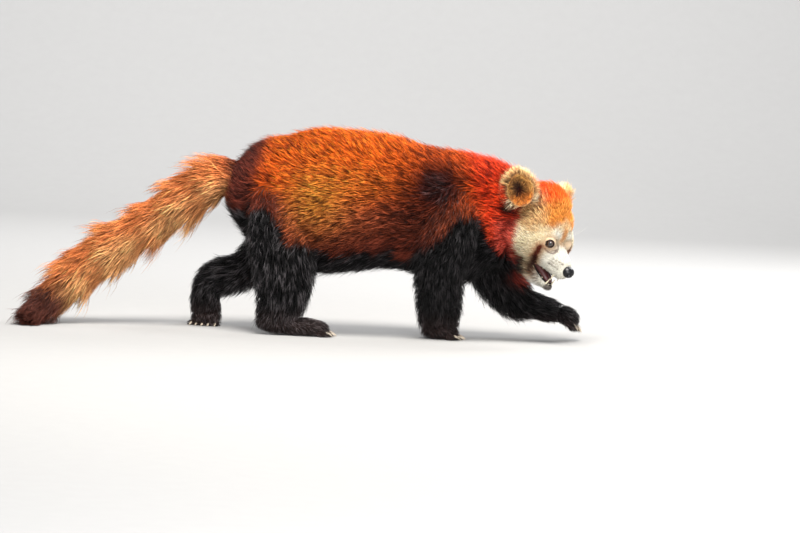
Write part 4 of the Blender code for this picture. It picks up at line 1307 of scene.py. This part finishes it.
furMaterial = furFinish("fur", 0.5, 0.12, 0.0, 0.35)
blackFur = furFinish("black fur", 0.36, 0.2, 0.0, 0.3)
faceFur = furFinish("face fur", 0.7, 0.1, 0.04, 0.22)
skinMaterial = paintedFinish("skin under the fur", 0.85, 0.1, 0.0)
eyeMaterial = paintedFinish("eye", 0.04, 0.5, 1.0)
rimMaterial = grainFinish("lid rim", (0.022, 0.012, 0.010), 0.4, 900, 0.3, 0.0002, gloss=0.3)
noseMaterial = grainFinish("nose leather", (0.004, 0.004, 0.005), 0.26, 1100, 0.6, 0.0004, gloss=0.3)
# the tongue's dark red: partly its own colour, partly painted shade inside the mouth
tongueMaterial = grainFinish("tongue", (0.055, 0.015, 0.014), 0.34, 1400, 0.6, 0.0003, gloss=0.4)
toothMaterial = grainFinish("tooth", (0.60, 0.53, 0.38), 0.28, 300, 0.15, 0.0002, light=1.2)
clawMaterial = grainFinish("claw horn", (0.50, 0.42, 0.32), 0.35, 420, 0.3, 0.0002, light=1.25)
whiskerMaterial = grainFinish("whisker", (0.70, 0.66, 0.60), 0.45, 300, 0.1, 0.0001, light=1.1)
floorMaterial = studioFinish()

dress = [(skin, skinMaterial), (nosePad, noseMaterial), (tongueFlesh, tongueMaterial)]
dress += [(toothRow, toothMaterial), (whiskerHairs, whiskerMaterial)]
furs = {"face": faceFur, "ears": faceFur, "hind": blackFur, "front": blackFur, "paws": blackFur}
dress += [(obj, furs.get(obj.name.split("_")[1], furMaterial)) for obj in coatPieces]
dress += [(obj, eyeMaterial) for obj in eyes]
dress += [(obj, rimMaterial) for obj in lidRims]
dress += [(obj, clawMaterial) for obj in claws]
for obj, material in dress:
    obj.data.materials.clear()
    obj.data.materials.append(material)
    finishPiece(obj)

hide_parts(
    "torso", "neck", "head", "lower_jaw", "ear_left", "ear_right", "tail",
    "front_leg_left", "front_leg_right", "hind_leg_left", "hind_leg_right",
    "paw_front_left", "paw_front_right", "paw_hind_left", "paw_hind_right",
)
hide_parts("nose")
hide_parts("tongue")
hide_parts("eye_right")
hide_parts("eye_left")


# The floor, the lights and the camera.

studio = {"halfWidth": 6.0, "front": -6.0, "back": 2.6, "curve": 1.4, "steps": 16, "top": 5.0}


def makeFloor():  # a floor that curves up into a wall behind the animal
    bm = bmesh.new()
    line = [(studio["front"], 0)]
    back, curve, steps = studio["back"], studio["curve"], studio["steps"]
    for k in range(steps + 1):
        angle = k / steps * math.pi / 2
        line.append((back + curve * math.sin(angle), curve * (1 - math.cos(angle))))
    line.append((back + curve, studio["top"]))
    verts = [bm.verts.new((-studio["halfWidth"], y, z)) for y, z in line]
    edges = [bm.edges.new(pair) for pair in zip(verts, verts[1:])]
    moved = bmesh.ops.extrude_edge_only(bm, edges=edges)["geom"]
    across = [g for g in moved if isinstance(g, bmesh.types.BMVert)]
    bmesh.ops.translate(bm, verts=across, vec=(2 * studio["halfWidth"], 0, 0))
    floor = meshObject("studio_floor", bm)
    floor.data.shade_smooth()
    floor.data.materials.append(floorMaterial)
    return floor


def addSoftLight(name, at, size, power, target=(0.05, 0, 0.12), colour=(1, 1, 1)):
    data = bpy.data.lights.new(name, "AREA")
    data.shape = "RECTANGLE"
    data.size, data.size_y = size
    data.energy = power
    data.color = colour
    light = bpy.data.objects.new(name, data)
    light.location = at
    light.rotation_euler = (Vector(target) - Vector(at)).to_track_quat("-Z", "Y").to_euler()
    bpy.context.scene.collection.objects.link(light)


floor = makeFloor()
addSoftLight("overhead softbox", (0.2, -0.7, 1.8), (0.9, 0.8), 74, colour=(1, 0.97, 0.92))
addSoftLight("front softbox", (0.7, -2.8, 0.8), (1.8, 1.4), 82)
addSoftLight("rim softbox", (1.4, 1.3, 1.3), (0.9, 0.8), 38)
addSoftLight("backdrop softbox", (0, 1.2, 2.6), (3.0, 0.6), 150, target=(0, 4.0, 0.9))

world = bpy.data.worlds.new("studio air")
world.use_nodes = True
world.node_tree.nodes["Background"].inputs["Color"].default_value = (0.90, 0.93, 0.97, 1)
world.node_tree.nodes["Background"].inputs["Strength"].default_value = 0.75
bpy.context.scene.world = world
bpy.context.scene.view_settings.view_transform = "Standard"

view = {"aim": (132, 0, 98), "rise": 4.0, "roll": 2.5, "lens": 150, "sensor": 36, "span": 1120}


def addCamera():
    rise, roll = math.radians(view["rise"]), math.radians(view["roll"])
    look = Vector((0, math.cos(rise), -math.sin(rise)))
    level, upright = Vector((1, 0, 0)), Vector((0, math.sin(rise), math.cos(rise)))
    right = level * math.cos(roll) + upright * math.sin(roll)
    up = upright * math.cos(roll) - level * math.sin(roll)
    data = bpy.data.cameras.new("camera")
    data.lens = view["lens"]
    data.sensor_width = view["sensor"]
    camera = bpy.data.objects.new("camera", data)
    distance = view["span"] * mm * view["lens"] / view["sensor"]
    place = toFrame @ Vector(view["aim"]) - look * distance
    camera.matrix_world = Matrix.Translation(place) @ Matrix((right, up, -look)).transposed().to_4x4()
    bpy.context.scene.collection.objects.link(camera)
    bpy.context.scene.camera = camera


addCamera()
